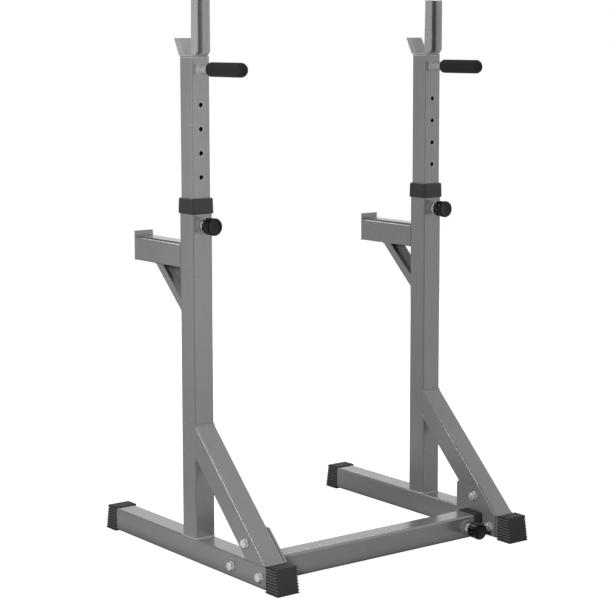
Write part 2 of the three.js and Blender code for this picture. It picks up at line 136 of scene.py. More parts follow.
@dataclass
class Box:
    """A box between two corners."""

    low: Vector
    high: Vector

    @classmethod
    def of(cls, node: str) -> "Box":
        """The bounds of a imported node."""
        return cls(*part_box(node))

    @property
    def size(self) -> Vector:
        """Its size."""
        return self.high - self.low

    @property
    def middle(self) -> Vector:
        """Its middle."""
        return (self.low + self.high) / 2

    def face(self, axis: Axis, end: int, out: float = 0.0) -> Vector:
        """The middle of one of its faces.

        Args:
            axis: The axis that the face stands across.
            end: The sign of the face's place along it.
            out: How far outside the face the point lies.

        Returns:
            The point.
        """
        k = axis.value
        point = self.middle
        point[k] = self.high[k] + out if end > 0 else self.low[k] - out
        return point

    def drill(self, radius: float, axis: Axis, at: Vector, depth: float | None = None) -> "Shape":
        """A drill that enters through the box's low face.

        Args:
            radius: Radius of the hole.
            axis: The drill's direction.
            at: A point of the drill's axis.
            depth: Depth of the hole, or None for all through.

        Returns:
            The tool.
        """
        k = axis.value
        start = at.copy()
        start[k] = self.low[k] - OVERRUN
        reach = self.size[k] + OVERRUN if depth is None else depth
        return Shape.drum(radius, OVERRUN + reach).aim(axis.vector, start)


def is_sharp(edge: bmesh.types.BMEdge, angle: float = SHARP_ANGLE) -> bool:
    """Whether an edge's faces meet at more than an angle."""
    return edge.calc_face_angle(0) > angle


def runs_along(edge: bmesh.types.BMEdge, direction: Vector, share: float = 0.999) -> bool:
    """Whether an edge runs along a direction."""
    return abs((edge.verts[1].co - edge.verts[0].co).normalized().dot(direction)) > share


def lies_at(edge: bmesh.types.BMEdge, axis: Axis, place: float, within: float = CLOSE) -> bool:
    """Whether both ends of an edge lie at a place along an axis."""
    return all(abs(v.co[axis.value] - place) < within for v in edge.verts)


class Shape:
    """A form under construction: a bmesh with the operators that the stand's pieces need."""

    def __init__(self) -> None:
        """Starts with an empty mesh."""
        self.bm = bmesh.new()

    @classmethod
    def block(cls, box: Box) -> "Shape":
        """A solid that fills a box.

        Args:
            box: Its bounds.

        Returns:
            The block.
        """
        shape = cls()
        bmesh.ops.create_cube(shape.bm, size=1.0)
        bmesh.ops.scale(shape.bm, vec=box.size, verts=shape.bm.verts)
        return shape.move(box.middle)

    @classmethod
    def bar(cls, box: Box, axis: Axis, corner: float, steps: int = 6) -> "Shape":
        """A block whose four edges along one axis are rounded.

        Args:
            box: Its bounds.
            axis: The direction of the rounded edges.
            corner: Radius of those edges.
            steps: Facets of each rounded edge.

        Returns:
            The bar.
        """
        return cls.block(box).round_along(axis, corner, steps)

    @classmethod
    def drum(cls, radius: float, length: float, sides: int = SMALL_SIDES) -> "Shape":
        """A cylinder round +Z that starts at the origin.

        Args:
            radius: Its radius.
            length: Its length along +Z.
            sides: Facets round the axis.

        Returns:
            The drum.
        """
        shape = cls()
        bmesh.ops.create_cone(
            shape.bm, cap_ends=True, segments=sides, radius1=radius, radius2=radius, depth=length)
        return shape.move(Vector((0, 0, length / 2)))

    @classmethod
    def turned(cls, profile: Profile, sides: int = ROUND_SIDES) -> "Shape":
        """A profile spun round +Z.

        Args:
            profile: Points of radius and distance; it closes on itself or starts and ends on the axis.
            sides: Facets round the axis.

        Returns:
            The turned form.
        """
        shape = cls()
        verts = [shape.bm.verts.new((radius, 0, distance)) for radius, distance in profile]
        for a, b in zip(verts, verts[1:]):
            shape.bm.edges.new((a, b))
        if profile[0][0] > 0:
            shape.bm.edges.new((verts[-1], verts[0]))
        geom = shape.bm.verts[:] + shape.bm.edges[:]
        bmesh.ops.spin(
            shape.bm, geom=geom, cent=(0, 0, 0), axis=Axis.Z.vector, angle=2 * math.pi, steps=sides, use_merge=True)
        return shape.heal()

    @classmethod
    def side_outline(cls, points: Profile, low_x: float, high_x: float) -> "Shape":
        """A side outline extruded across the stand.

        Args:
            points: Corners of the outline as Y and Z, in order.
            low_x: Lowest X of the solid.
            high_x: Highest X of the solid.

        Returns:
            The solid.
        """
        shape = cls()
        face = shape.bm.faces.new([shape.bm.verts.new((low_x, y, z)) for y, z in points])
        made = bmesh.ops.extrude_face_region(shape.bm, geom=[face])["geom"]
        moved = [v for v in made if isinstance(v, bmesh.types.BMVert)]
        bmesh.ops.translate(shape.bm, vec=(high_x - low_x, 0, 0), verts=moved)
        return shape.heal()

    @classmethod
    def wire(cls, points: Sequence[Vector], radius: float, closed: bool, swell: Sequence[float] = (1.0,)) -> "Shape":
        """A round wire or weld bead along a path.

        Args:
            points: The path.
            radius: Radius of the wire.
            closed: Whether the path is a loop.
            swell: Factors of the radius, repeated along the path.

        Returns:
            The wire as a mesh form.
        """
        curve = bpy.data.curves.new("path", "CURVE")
        curve.dimensions = "3D"
        curve.bevel_depth = radius
        curve.bevel_resolution = 2
        curve.use_fill_caps = True
        spline = curve.splines.new("POLY")
        spline.points.add(len(points) - 1)
        for k, point in enumerate(points):
            spline.points[k].co = (*point, 1.0)
            spline.points[k].radius = swell[k % len(swell)]
        spline.use_cyclic_u = closed
        holder = bpy.data.objects.new("path", curve)
        bpy.context.scene.collection.objects.link(holder)
        shape = cls()
        shape._load(holder)
        bpy.data.objects.remove(holder)
        bpy.data.curves.remove(curve)
        return shape.heal()

    def _load(self, holder: bpy.types.Object) -> None:
        """Takes over the evaluated mesh of an object.

        Args:
            holder: The object.
        """
        graph = bpy.context.evaluated_depsgraph_get()
        mesh = bpy.data.meshes.new_from_object(holder.evaluated_get(graph))
        self.bm.clear()
        self.bm.from_mesh(mesh)
        bpy.data.meshes.remove(mesh)

    def _holder(self) -> bpy.types.Object:
        """A scratch object that carries this form's mesh.

        Returns:
            The object.
        """
        mesh = bpy.data.meshes.new("scratch")
        self.bm.to_mesh(mesh)
        holder = bpy.data.objects.new("scratch", mesh)
        bpy.context.scene.collection.objects.link(holder)
        return holder

    def heal(self) -> "Shape":
        """Merges doubled points and turns the faces outwards.

        Returns:
            This form.
        """
        bmesh.ops.remove_doubles(self.bm, verts=self.bm.verts, dist=1e-6)
        bmesh.ops.recalc_face_normals(self.bm, faces=self.bm.faces)
        return self

    def copy(self) -> "Shape":
        """A second form like this one.

        Returns:
            The copy.
        """
        other = Shape()
        other.bm.free()
        other.bm = self.bm.copy()
        return other

    def transform(self, matrix: Matrix) -> "Shape":
        """Applies a matrix to the form.

        Args:
            matrix: The matrix.

        Returns:
            This form.
        """
        bmesh.ops.transform(self.bm, matrix=matrix, verts=self.bm.verts)
        if matrix.determinant() < 0:
            bmesh.ops.reverse_faces(self.bm, faces=self.bm.faces)
        return self

    def move(self, offset: Vector) -> "Shape":
        """Moves the form."""
        bmesh.ops.translate(self.bm, vec=offset, verts=self.bm.verts)
        return self

    def aim(self, direction: Vector, origin: Vector) -> "Shape":
        """Turns the form's +Z to a direction and its origin to a point."""
        turn = Axis.Z.vector.rotation_difference(direction).to_matrix().to_4x4()
        return self.transform(Matrix.Translation(origin) @ turn)

    def add(self, *others: "Shape") -> "Shape":
        """Takes in the shells of other forms.

        Args:
            others: The other forms.

        Returns:
            This form.
        """
        for other in others:
            mesh = bpy.data.meshes.new("scratch")
            other.bm.to_mesh(mesh)
            self.bm.from_mesh(mesh)
            bpy.data.meshes.remove(mesh)
        return self

    def round_edges(self, chosen: Callable[[bmesh.types.BMEdge], bool], radius: float, steps: int = 4) -> "Shape":
        """Rounds the edges that a test picks.

        Args:
            chosen: The test of an edge.
            radius: Radius of the rounding.
            steps: Facets of the rounding.

        Returns:
            This form.
        """
        edges = [e for e in self.bm.edges if chosen(e)]
        bmesh.ops.bevel(
            self.bm, geom=edges, offset=radius, offset_type="OFFSET", segments=steps, profile=0.5,
            affect="EDGES", clamp_overlap=True, material=-1)
        return self

    def round_along(self, axis: Axis, radius: float, steps: int = 6) -> "Shape":
        """Rounds the sharp edges that run along an axis."""
        return self.round_edges(lambda e: runs_along(e, axis.vector) and is_sharp(e), radius, steps)

    def soften(self, radius: float, steps: int = 2, angle: float = SHARP_ANGLE) -> "Shape":
        """Breaks every edge sharper than an angle."""
        return self.round_edges(lambda e: e.is_manifold and is_sharp(e, angle), radius, steps)

    def trim(self, point: Vector, normal: Vector) -> "Shape":
        """Cuts the form off beyond a plane and closes it.

        Args:
            point: A point of the plane.
            normal: Direction of what goes away.

        Returns:
            This form.
        """
        geom = self.bm.verts[:] + self.bm.edges[:] + self.bm.faces[:]
        made = bmesh.ops.bisect_plane(self.bm, geom=geom, plane_co=point, plane_no=normal, clear_outer=True)
        rim = [e for e in made["geom_cut"] if isinstance(e, bmesh.types.BMEdge)]
        bmesh.ops.edgeloop_fill(self.bm, edges=rim)
        return self.heal()

    def minus(self, *tools: "Shape", crossing: bool = False) -> "Shape":
        """Cuts other forms out of this one with an exact boolean.

        Args:
            tools: The forms to cut out.
            crossing: Whether the tools run through one another.

        Returns:
            This form.
        """
        cutter = Shape().add(*tools)._holder()
        target = self._holder()
        modifier = target.modifiers.new("cut", "BOOLEAN")
        modifier.operation = "DIFFERENCE"
        modifier.solver = "EXACT"
        modifier.use_self = crossing
        modifier.object = cutter
        self._load(target)
        for holder in (target, cutter):
            mesh = holder.data
            bpy.data.objects.remove(holder)
            bpy.data.meshes.remove(mesh)
        return self.heal()

    def piece(self, name: str, body: str, finish: "Finish", nodes: Iterable[str] = ()) -> bpy.types.Object:
        """Makes the form a finished piece of the object.

        Args:
            name: Name of the piece.
            body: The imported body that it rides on.
            finish: Its surface finish.
            nodes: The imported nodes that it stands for.

        Returns:
            The piece's object.
        """
        mesh = bpy.data.meshes.new(name)
        self.bm.to_mesh(mesh)
        self.bm.free()
        mesh.shade_smooth()
        mesh.set_sharp_from_angle(angle=SHARP_ANGLE)
        mesh.materials.append(finish.material())
        piece = bpy.data.objects.new(name, mesh)
        bpy.context.scene.collection.objects.link(piece)
        weighted = piece.modifiers.new("even shading", "WEIGHTED_NORMAL")
        weighted.keep_sharp = True
        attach(piece, body)
        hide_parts(*nodes)
        log.info("%s: %d faces on %s", name, len(mesh.polygons), body)
        return piece


class Signal:
    """A node's output, with arithmetic that adds Math nodes."""

    def __init__(self, graph: "Graph", socket: bpy.types.NodeSocket) -> None:
        """Holds a socket and the graph it is in."""
        self.graph = graph
        self.socket = socket

    def __add__(self, other: "Signal | float") -> "Signal":
        """The sum."""
        return self.graph.math("ADD", self, other)

    __radd__ = __add__

    def __sub__(self, other: "Signal | float") -> "Signal":
        """The difference."""
        return self.graph.math("SUBTRACT", self, other)

    def __rsub__(self, other: "Signal | float") -> "Signal":
        """The difference from a number."""
        return self.graph.math("SUBTRACT", other, self)

    def __mul__(self, other: "Signal | float") -> "Signal":
        """The product."""
        return self.graph.math("MULTIPLY", self, other)

    __rmul__ = __mul__

    def __abs__(self) -> "Signal":
        """The size without its sign."""
        return self.graph.math("ABSOLUTE", self)


class Graph:
    """A node tree, with one method that adds any node and short ones for the patterns used here."""

    def __init__(self, tree: bpy.types.NodeTree) -> None:
        """Empties a node tree and holds it."""
        self.tree = tree
        tree.nodes.clear()

    def node(self, kind: str, settings: dict | None = None, inputs: dict | None = None) -> bpy.types.Node:
        """Adds a node.

        Args:
            kind: The node's type.
            settings: Its own settings, set first.
            inputs: Values or signals for its sockets, by identifier, name or place.

        Returns:
            The node.
        """
        node = self.tree.nodes.new(kind)
        for key, value in (settings or {}).items():
            setattr(node, key, value)
        for key, value in (inputs or {}).items():
            socket = self._socket(node.inputs, key)
            if isinstance(value, Signal):
                self.tree.links.new(value.socket, socket)
            else:
                socket.default_value = value
        return node

    @staticmethod
    def _socket(sockets: Sequence[bpy.types.NodeSocket], key: str | int) -> bpy.types.NodeSocket:
        """Finds a socket by its place, identifier or name.

        Args:
            sockets: The sockets to search.
            key: Its place, identifier or name.

        Returns:
            The socket.
        """
        if isinstance(key, int):
            return sockets[key]
        return next((s for s in sockets if s.identifier == key), None) or sockets[key]

    def out(self, node: bpy.types.Node, key: str | int = 0) -> Signal:
        """One output of a node."""
        return Signal(self, self._socket(node.outputs, key))

    def math(self, operation: str, *values: "Signal | float") -> Signal:
        """A Math node's result."""
        return self.out(self.node("ShaderNodeMath", {"operation": operation}, dict(enumerate(values))))

    def place(self) -> Signal:
        """The object coordinates."""
        return self.out(self.node("ShaderNodeTexCoord"), "Object")

    def stretched(self, where: Signal, scale: tuple[float, float, float]) -> Signal:
        """Coordinates scaled differently along the axes."""
        settings = {"operation": "MULTIPLY"}
        return self.out(self.node("ShaderNodeVectorMath", settings, {0: where, 1: scale}))

    def parts(self, where: Signal) -> tuple[Signal, Signal, Signal]:
        """The three numbers of a vector."""
        node = self.node("ShaderNodeSeparateXYZ", None, {0: where})
        return self.out(node, "X"), self.out(node, "Y"), self.out(node, "Z")

    def noise(self, where: Signal, scale: float, detail: float = 2.0, roughness: float = 0.5) -> Signal:
        """Noise from 0 to 1 with features of 1 / scale metres."""
        inputs = {"Vector": where, "Scale": scale, "Detail": detail, "Roughness": roughness}
        return self.out(self.node("ShaderNodeTexNoise", None, inputs))

    def cells(self, where: Signal, scale: float) -> Signal:
        """Distance to the middle of the nearest cell, for foam and grain."""
        return self.out(self.node("ShaderNodeTexVoronoi", None, {"Vector": where, "Scale": scale}))

    def ease(self, value: Signal, low: float, high: float) -> Signal:
        """A smooth step from 0 at low to 1 at high.

        Args:
            value: What is eased.
            low: Where the step starts.
            high: Where it ends.

        Returns:
            The step.
        """
        settings = {"interpolation_type": "SMOOTHSTEP"}
        inputs = {"Value": value, "From Min": low, "From Max": high}
        return self.out(self.node("ShaderNodeMapRange", settings, inputs))

    def blend(self, factor: "Signal | float", first: "Signal | Colour", second: "Signal | Colour") -> Signal:
        """A colour between two others.

        Args:
            factor: 0 for the first colour, 1 for the second.
            first: The first colour.
            second: The second colour.

        Returns:
            The colour between.
        """
        inputs = {"Factor_Float": factor}
        for key, colour in (("A_Color", first), ("B_Color", second)):
            inputs[key] = colour if isinstance(colour, Signal) else (*colour, 1.0)
        return self.out(self.node("ShaderNodeMix", {"data_type": "RGBA"}, inputs), "Result_Color")

    def mix(self, factor: "Signal | float", first: bpy.types.Node, second: bpy.types.Node) -> bpy.types.Node:
        """A mix of two shaders."""
        return self.node("ShaderNodeMixShader", None, {0: factor, 1: self.out(first), 2: self.out(second)})

    def bump(self, height: Signal, distance: float, strength: float = 1.0) -> Signal:
        """A normal from a height of 0 to 1 over a distance in metres."""
        inputs = {"Height": height, "Distance": distance, "Strength": strength}
        return self.out(self.node("ShaderNodeBump", None, inputs), "Normal")


def tint(colour: Colour, factor: float) -> Colour:
    """A colour made lighter or darker."""
    return tuple(min(1.0, c * factor) for c in colour)


@dataclass(frozen=True)
class Finish:
    """A surface finish: one node material, made once and shared."""

    slot: str
    colour: Colour
    roughness: float
    metallic: float = 0.0
    title: str = ""

    @cache
    def material(self) -> bpy.types.Material:
        """The material of this finish, made at its first use.

        Returns:
            The material.
        """
        made = bpy.data.materials.new(f"{self.title or self.slot}_finish")
        made.use_nodes = True
        graph = Graph(made.node_tree)
        shader = graph.node("ShaderNodeBsdfPrincipled", None, self.inputs(graph))
        graph.node("ShaderNodeOutputMaterial", None, {"Surface": graph.out(shader)})
        return made

    def inputs(self, graph: Graph) -> dict:
        """The shader's inputs: constants as they are, patterns as signals."""
        return {"Base Color": (*self.colour, 1.0), "Roughness": self.roughness, "Metallic": self.metallic}


@dataclass(frozen=True)
class MetallicPaint(Finish):
    """Grey metallic paint: fine flakes, a slight orange peel and faint handling marks."""

    flakes: float = 2600
    peel: float = 420
    clouds: float = 11
    rubs: float = 70
    rub_range: tuple[float, float] = (0.56, 0.72)
    tones: tuple[float, float] = (0.78, 1.22)
    coat: float = 0.35
    coat_roughness: float = 0.12
    relief: float = 0.04 * MM

    def inputs(self, graph: Graph) -> dict:
        """Flakes vary the colour, clouds and rubs the gloss, and the peel the normal.

        Args:
            graph: The tree that the nodes go into.

        Returns:
            The shader's inputs by name.
        """
        where = graph.place()
        flakes = graph.noise(where, self.flakes, 1.0)
        peel = graph.noise(where, self.peel, 2.0)
        clouds = graph.noise(where, self.clouds, 4.0)
        rubs = graph.ease(graph.noise(where, self.rubs, 6.0, 0.7), *self.rub_range)
        shade = 0.5 + 0.55 * (flakes - 0.5) + 0.35 * (clouds - 0.5)
        paint = graph.blend(shade, *(tint(self.colour, tone) for tone in self.tones))
        return {
            "Base Color": self.worn(graph, where, paint),
            "Roughness": self.roughness + 0.10 * (clouds - 0.5) + 0.07 * rubs,
            "Metallic": self.metallic,
            "Coat Weight": self.coat,
            "Coat Roughness": self.coat_roughness,
            "Normal": graph.bump(0.6 * peel + 0.4 * flakes, self.relief, 0.6),
        }

    def worn(self, graph: Graph, where: Signal, colour: Signal) -> Signal:
        """The colour with this paint's wear; none on fixed tubes."""
        return colour


@dataclass(frozen=True)
class SlidingPaint(MetallicPaint):
    """The same paint on a tube that slides, worn bright round its holes and streaked along it."""

    along: Axis = Axis.Z
    across: Axis = Axis.X
    first_hole: float = 0.0
    pitch: float = 50 * MM
    middle: float = 0.0
    core: float = 0.0
    ring: tuple[float, float] = (5.2 * MM, 7.6 * MM)
    ring_raggedness: float = 4 * MM
    ring_share: float = 0.55
    streaks: float = 900
    streak_stretch: float = 0.02
    streak_range: tuple[float, float] = (0.62, 0.78)
    streak_share: float = 0.22
    bright: float = 1.9

    def worn(self, graph: Graph, where: Signal, colour: Signal) -> Signal:
        """Adds the rubbed rings round the holes and fine streaks.

        Args:
            graph: The tree that the nodes go into.
            where: The object coordinates.
            colour: The unworn colour.

        Returns:
            The worn colour.
        """
        parts = graph.parts(where)
        along, across = parts[self.along.value], parts[self.across.value]
        turns = (along - self.first_hole) * (1 / self.pitch)
        nearest = graph.math("MINIMUM", graph.math("ROUND", turns), 0.0)
        beside = (turns - nearest) * self.pitch
        off = abs(across) - self.middle if self.across is Axis.X else across - self.middle
        reach = graph.math("SQRT", beside * beside + off * off)
        ragged = reach + self.ring_raggedness * (graph.noise(where, 260, 3.0) - 0.5)
        ring = 1 - graph.ease(ragged, *self.ring)
        squeeze = tuple(self.streak_stretch if k == self.along.value else 1.0 for k in range(3))
        lines = graph.noise(graph.stretched(where, squeeze), self.streaks, 2.0)
        front = 1 - graph.ease(parts[Axis.Y.value], self.core - MM, self.core + MM)
        rubbed = graph.math(
            "MAXIMUM", self.ring_share * ring * front, self.streak_share * graph.ease(lines, *self.streak_range))
        return graph.blend(rubbed, colour, tint(self.colour, self.bright))


@dataclass(frozen=True)
class Moulded(Finish):
    """Black moulded plastic or rubber with a fine grain."""

    grain: float = 1400
    clouds: float = 38
    scuffs: float = 130
    scuff_range: tuple[float, float] = (0.58, 0.74)
    tones: tuple[float, float] = (0.72, 1.28)
    depth: float = 0.03 * MM
    gloss: float = 0.5

    def inputs(self, graph: Graph) -> dict:
        """The grain roughens the surface and clouds vary its gloss.

        Args:
            graph: The tree that the nodes go into.

        Returns:
            The shader's inputs by name.
        """
        where = graph.place()
        grain = graph.noise(where, self.grain, 2.0)
        clouds = graph.noise(where, self.clouds, 5.0, 0.6)
        scuffs = graph.ease(graph.noise(where, self.scuffs, 4.0, 0.7), *self.scuff_range)
        shade = 0.5 + 0.5 * (grain - 0.5) + 0.6 * (clouds - 0.5) + 0.25 * scuffs
        return {
            "Base Color": graph.blend(shade, *(tint(self.colour, tone) for tone in self.tones)),
            "Roughness": self.roughness + 0.16 * (clouds - 0.5) + 0.08 * scuffs,
            "Specular IOR Level": self.gloss,
            "Normal": graph.bump(grain, self.depth),
        }


@dataclass(frozen=True)
class RibbedRubber(Moulded):
    """Rubber with a painted highlight on its rib crests and painted shade in the grooves between them."""

    first_groove: float = 0.0
    pitch: float = 6 * MM
    sides: tuple[float, float] = (0.0, 0.0)
    side_range: tuple[float, float] = (-2.4 * MM, -1.2 * MM)
    crest_range: tuple[float, float] = (0.31, 0.42)
    groove_range: tuple[float, float] = (0.16, 0.32)
    patches: float = 150
    # Tints of the painted shade in the grooves and of the painted highlight on the crests.
    groove_shade_tone: float = 0.2
    crest_highlight_tone: float = 4.0

    def inputs(self, graph: Graph) -> dict:
        """The painted highlight and shade follow the ribs' height and stay on the two ribbed sides.

        Args:
            graph: The tree that the nodes go into.

        Returns:
            The shader's inputs by name.
        """
        made = super().inputs(graph)
        where = graph.place()
        x, _, z = graph.parts(where)
        turns = (z - self.first_groove) * (1 / self.pitch)
        beside = abs(turns - graph.math("ROUND", turns))
        patches = 0.7 + 0.6 * (graph.noise(where, self.patches, 3.0) - 0.5)
        ribbed = graph.ease(abs(abs(x) - self.sides[0]), *(self.sides[1] + step for step in self.side_range))
        # Painted highlight on the crests and painted shade in the grooves, as lighter and darker tints of the rubber.
        crest_highlight = graph.ease(beside, *self.crest_range) * ribbed * patches
        groove_shade = (1 - graph.ease(beside, *self.groove_range)) * ribbed
        dark = graph.blend(0.8 * groove_shade, made["Base Color"], tint(self.colour, self.groove_shade_tone))
        made["Base Color"] = graph.blend(crest_highlight, dark, tint(self.colour, self.crest_highlight_tone))
        return made


@dataclass(frozen=True)
class ClosedFoam(Finish):
    """Black closed-cell foam: small cells, a few larger pores and a soft sheen."""

    cells: float = 1100
    pores: float = 330
    pore_range: tuple[float, float] = (0.10, 0.22)
    clouds: float = 60
    tones: tuple[float, float] = (0.6, 1.5)
    gloss: float = 0.18
    sheen: float = 0.03
    depth: float = 0.35 * MM

    def inputs(self, graph: Graph) -> dict:
        """Cells and pores sink into the surface and darken it.

        Args:
            graph: The tree that the nodes go into.

        Returns:
            The shader's inputs by name.
        """
        where = graph.place()
        cells = graph.cells(where, self.cells)
        pores = 1 - graph.ease(graph.cells(where, self.pores), *self.pore_range)
        clouds = graph.noise(where, self.clouds, 4.0)
        shade = 0.25 + 0.5 * cells + 0.5 * (clouds - 0.5) - 0.3 * pores
        return {
            "Base Color": graph.blend(shade, *(tint(self.colour, tone) for tone in self.tones)),
            "Roughness": self.roughness + 0.1 * (clouds - 0.5),
            "Specular IOR Level": self.gloss,
            "Sheen Weight": self.sheen,
            "Sheen Roughness": 0.5,
            "Normal": graph.bump(0.6 * cells - 0.8 * pores + 0.4 * clouds, self.depth, 0.7),
        }


@dataclass(frozen=True)
class BrightMetal(Finish):
    """Zinc plate or spring steel: fine drawing marks and a cloudy passivated tone."""

    second: Colour = (0.62, 0.64, 0.68)
    marks: float = 1800
    mark_stretch: tuple[float, float, float] = (0.12, 1.0, 1.0)
    clouds: float = 240
    cloud_range: tuple[float, float] = (0.35, 0.65)
    depth: float = 0.02 * MM

    def inputs(self, graph: Graph) -> dict:
        """Marks and clouds vary the gloss; the clouds vary the tone.

        Args:
            graph: The tree that the nodes go into.

        Returns:
            The shader's inputs by name.
        """
        where = graph.place()
        marks = graph.noise(graph.stretched(where, self.mark_stretch), self.marks, 3.0)
        clouds = graph.noise(where, self.clouds, 4.0)
        return {
            "Base Color": graph.blend(graph.ease(clouds, *self.cloud_range), self.colour, self.second),
            "Roughness": self.roughness + 0.16 * (marks - 0.5) + 0.12 * (clouds - 0.5),
            "Metallic": self.metallic,
            "Normal": graph.bump(0.5 * marks + 0.5 * clouds, self.depth, 0.5),
        }


PAINT = MetallicPaint("frame_paint", (0.236, 0.237, 0.248), 0.22, 0.55)
POST_PAINT = MetallicPaint("post_paint", (0.244, 0.245, 0.252), 0.22, 0.5)
# A lighter, less metallic copy of the post's paint on the catch and the peg, which carry the post's paint: painted
# light.
LIT_CATCH_PAINT = MetallicPaint("post_paint", (0.258, 0.259, 0.263), 0.28, 0.15, title="lit_catch_paint")
GUIDE_PLASTIC = Moulded("collar_plastic", (0.021, 0.021, 0.022), 0.44)
# A lighter tint of the frame paint on the upright's and the post's weld beads: a painted highlight.
WELD_HIGHLIGHT_PAINT = MetallicPaint("frame_paint", (0.36, 0.36, 0.37), 0.2, 0.4, title="weld_highlight_paint")
KNOB_PLASTIC = Moulded("knob_plastic", (0.003, 0.003, 0.0035), 0.18, grain=700, depth=0.01 * MM, gloss=0.36)
FOAM = ClosedFoam("grip_foam", (0.013, 0.013, 0.0135), 0.86)
ZINC = BrightMetal("zinc", (0.86, 0.87, 0.89), 0.16, 0.72)
SPRING_STEEL = BrightMetal("spring_steel", (0.55, 0.56, 0.58), 0.32, 1.0, second=(0.42, 0.43, 0.45))


def loop_path(middle: Vector, axes: tuple[Axis, Axis], half: tuple[float, float], corner: float) -> list[Vector]:
    """A rounded rectangle as closely spaced points, for a weld bead.

    Args:
        middle: Its middle.
        axes: The axes of its sides.
        half: Half its size along them.
        corner: Radius of its corners.

    Returns:
        The points in order.
    """
    u, v = axes[0].vector, axes[1].vector
    quarters = ((u, v), (v, -u), (-u, -v), (-v, u))
    straights = (half[0] - corner, half[1] - corner)
    arc = max(2, round(corner * math.pi / 2 / BEAD_STEP))
    points: list[Vector] = []
    for quarter, (a, b) in enumerate(quarters):
        far, wide = straights if quarter % 2 == 0 else straights[::-1]
        centre = middle + a * far + b * wide
        for k in range(arc):
            angle = k / arc * math.pi / 2
            points.append(centre + a * (corner * math.cos(angle)) + b * (corner * math.sin(angle)))
        count = max(1, round(2 * far / BEAD_STEP))
        points += [centre + b * corner - a * (2 * far * k / count) for k in range(count)]
    return points


def line_path(start: Vector, run: Vector) -> list[Vector]:
    """Closely spaced points on a straight line."""
    count = max(2, round(run.length / BEAD_STEP))
    return [start + run * (k / count) for k in range(count + 1)]


def bead(points: Sequence[Vector], radius: float = 1.5 * MM, closed: bool = True) -> Shape:
    """A rippled weld bead along a path."""
    return Shape.wire(points, radius, closed, BEAD_SWELL)


def hole_row(radius: float, first: Vector, step: Vector, count: int) -> list[Shape]:
    """Cutters for a row of holes with broken edges in a tube's -Y wall.

    Args:
        radius: Radius of the holes.
        first: The first hole's middle on the wall's outer face.
        step: From one hole to the next.
        count: Number of holes.

    Returns:
        The cutters.
    """
    before, after, broken = 5 * MM, 8 * MM, 0.5 * MM
    cutter = Shape.turned([
        (0, -before), (radius + before + broken, -before), (radius, broken), (radius, after), (0, after),
    ], SMALL_SIDES)
    return [cutter.copy().aim(Axis.Y.vector, first + step * k) for k in range(count)]


@dataclass(frozen=True)
class TubeSection:
    """The section of a square tube."""

    corner: float
    wall: float

    def along(self, box: Box, axis: Axis) -> Shape:
        """The open tube that fills a box along an axis.

        Args:
            box: The tube's bounds.
            axis: Its direction.

        Returns:
            The tube.
        """
        inset = Vector([-OVERRUN if k == axis.value else self.wall for k in range(3)])
        bore = Shape.bar(Box(box.low + inset, box.high - inset), axis, self.corner - self.wall)
        return Shape.bar(box, axis, self.corner).minus(bore)

    def socket(self, tube: Box, axis: Axis, start: float, end: float) -> Shape:
        """A tool that leaves room for this tube.

        Args:
            tube: The tube's bounds.
            axis: The tube's direction.
            start: Where the room starts along it.
            end: Where the room ends along it.

        Returns:
            The tool.
        """
        gap = Vector([0 if k == axis.value else FIT for k in range(3)])
        low, high = tube.low - gap, tube.high + gap
        low[axis.value], high[axis.value] = start, end
        return Shape.bar(Box(low, high), axis, self.corner)


FRAME_TUBE = TubeSection(4.5 * MM, 2 * MM)
POST_TUBE = TubeSection(3.5 * MM, 2 * MM)


@dataclass
class StandPart:
    """A sub-assembly of one stand."""

    side: Side

    def box(self, name: str) -> Box:
        """The bounds of one of this stand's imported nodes."""
        return Box.of(self.side.named(name))

    def put(self, form: Shape, name: str, finish: Finish, node: str = "", body: str = "stand") -> bpy.types.Object:
        """Makes a form a finished piece of this stand.

        Args:
            form: The form.
            name: The piece's name without its side.
            finish: Its surface finish.
            node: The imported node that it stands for, without its side; none for a bead.
            body: The body that it rides on, without its side.

        Returns:
            The piece's object.
        """
        nodes = [self.side.named(node)] if node else []
        return form.piece(self.side.named(name), self.side.named(body), finish, nodes)


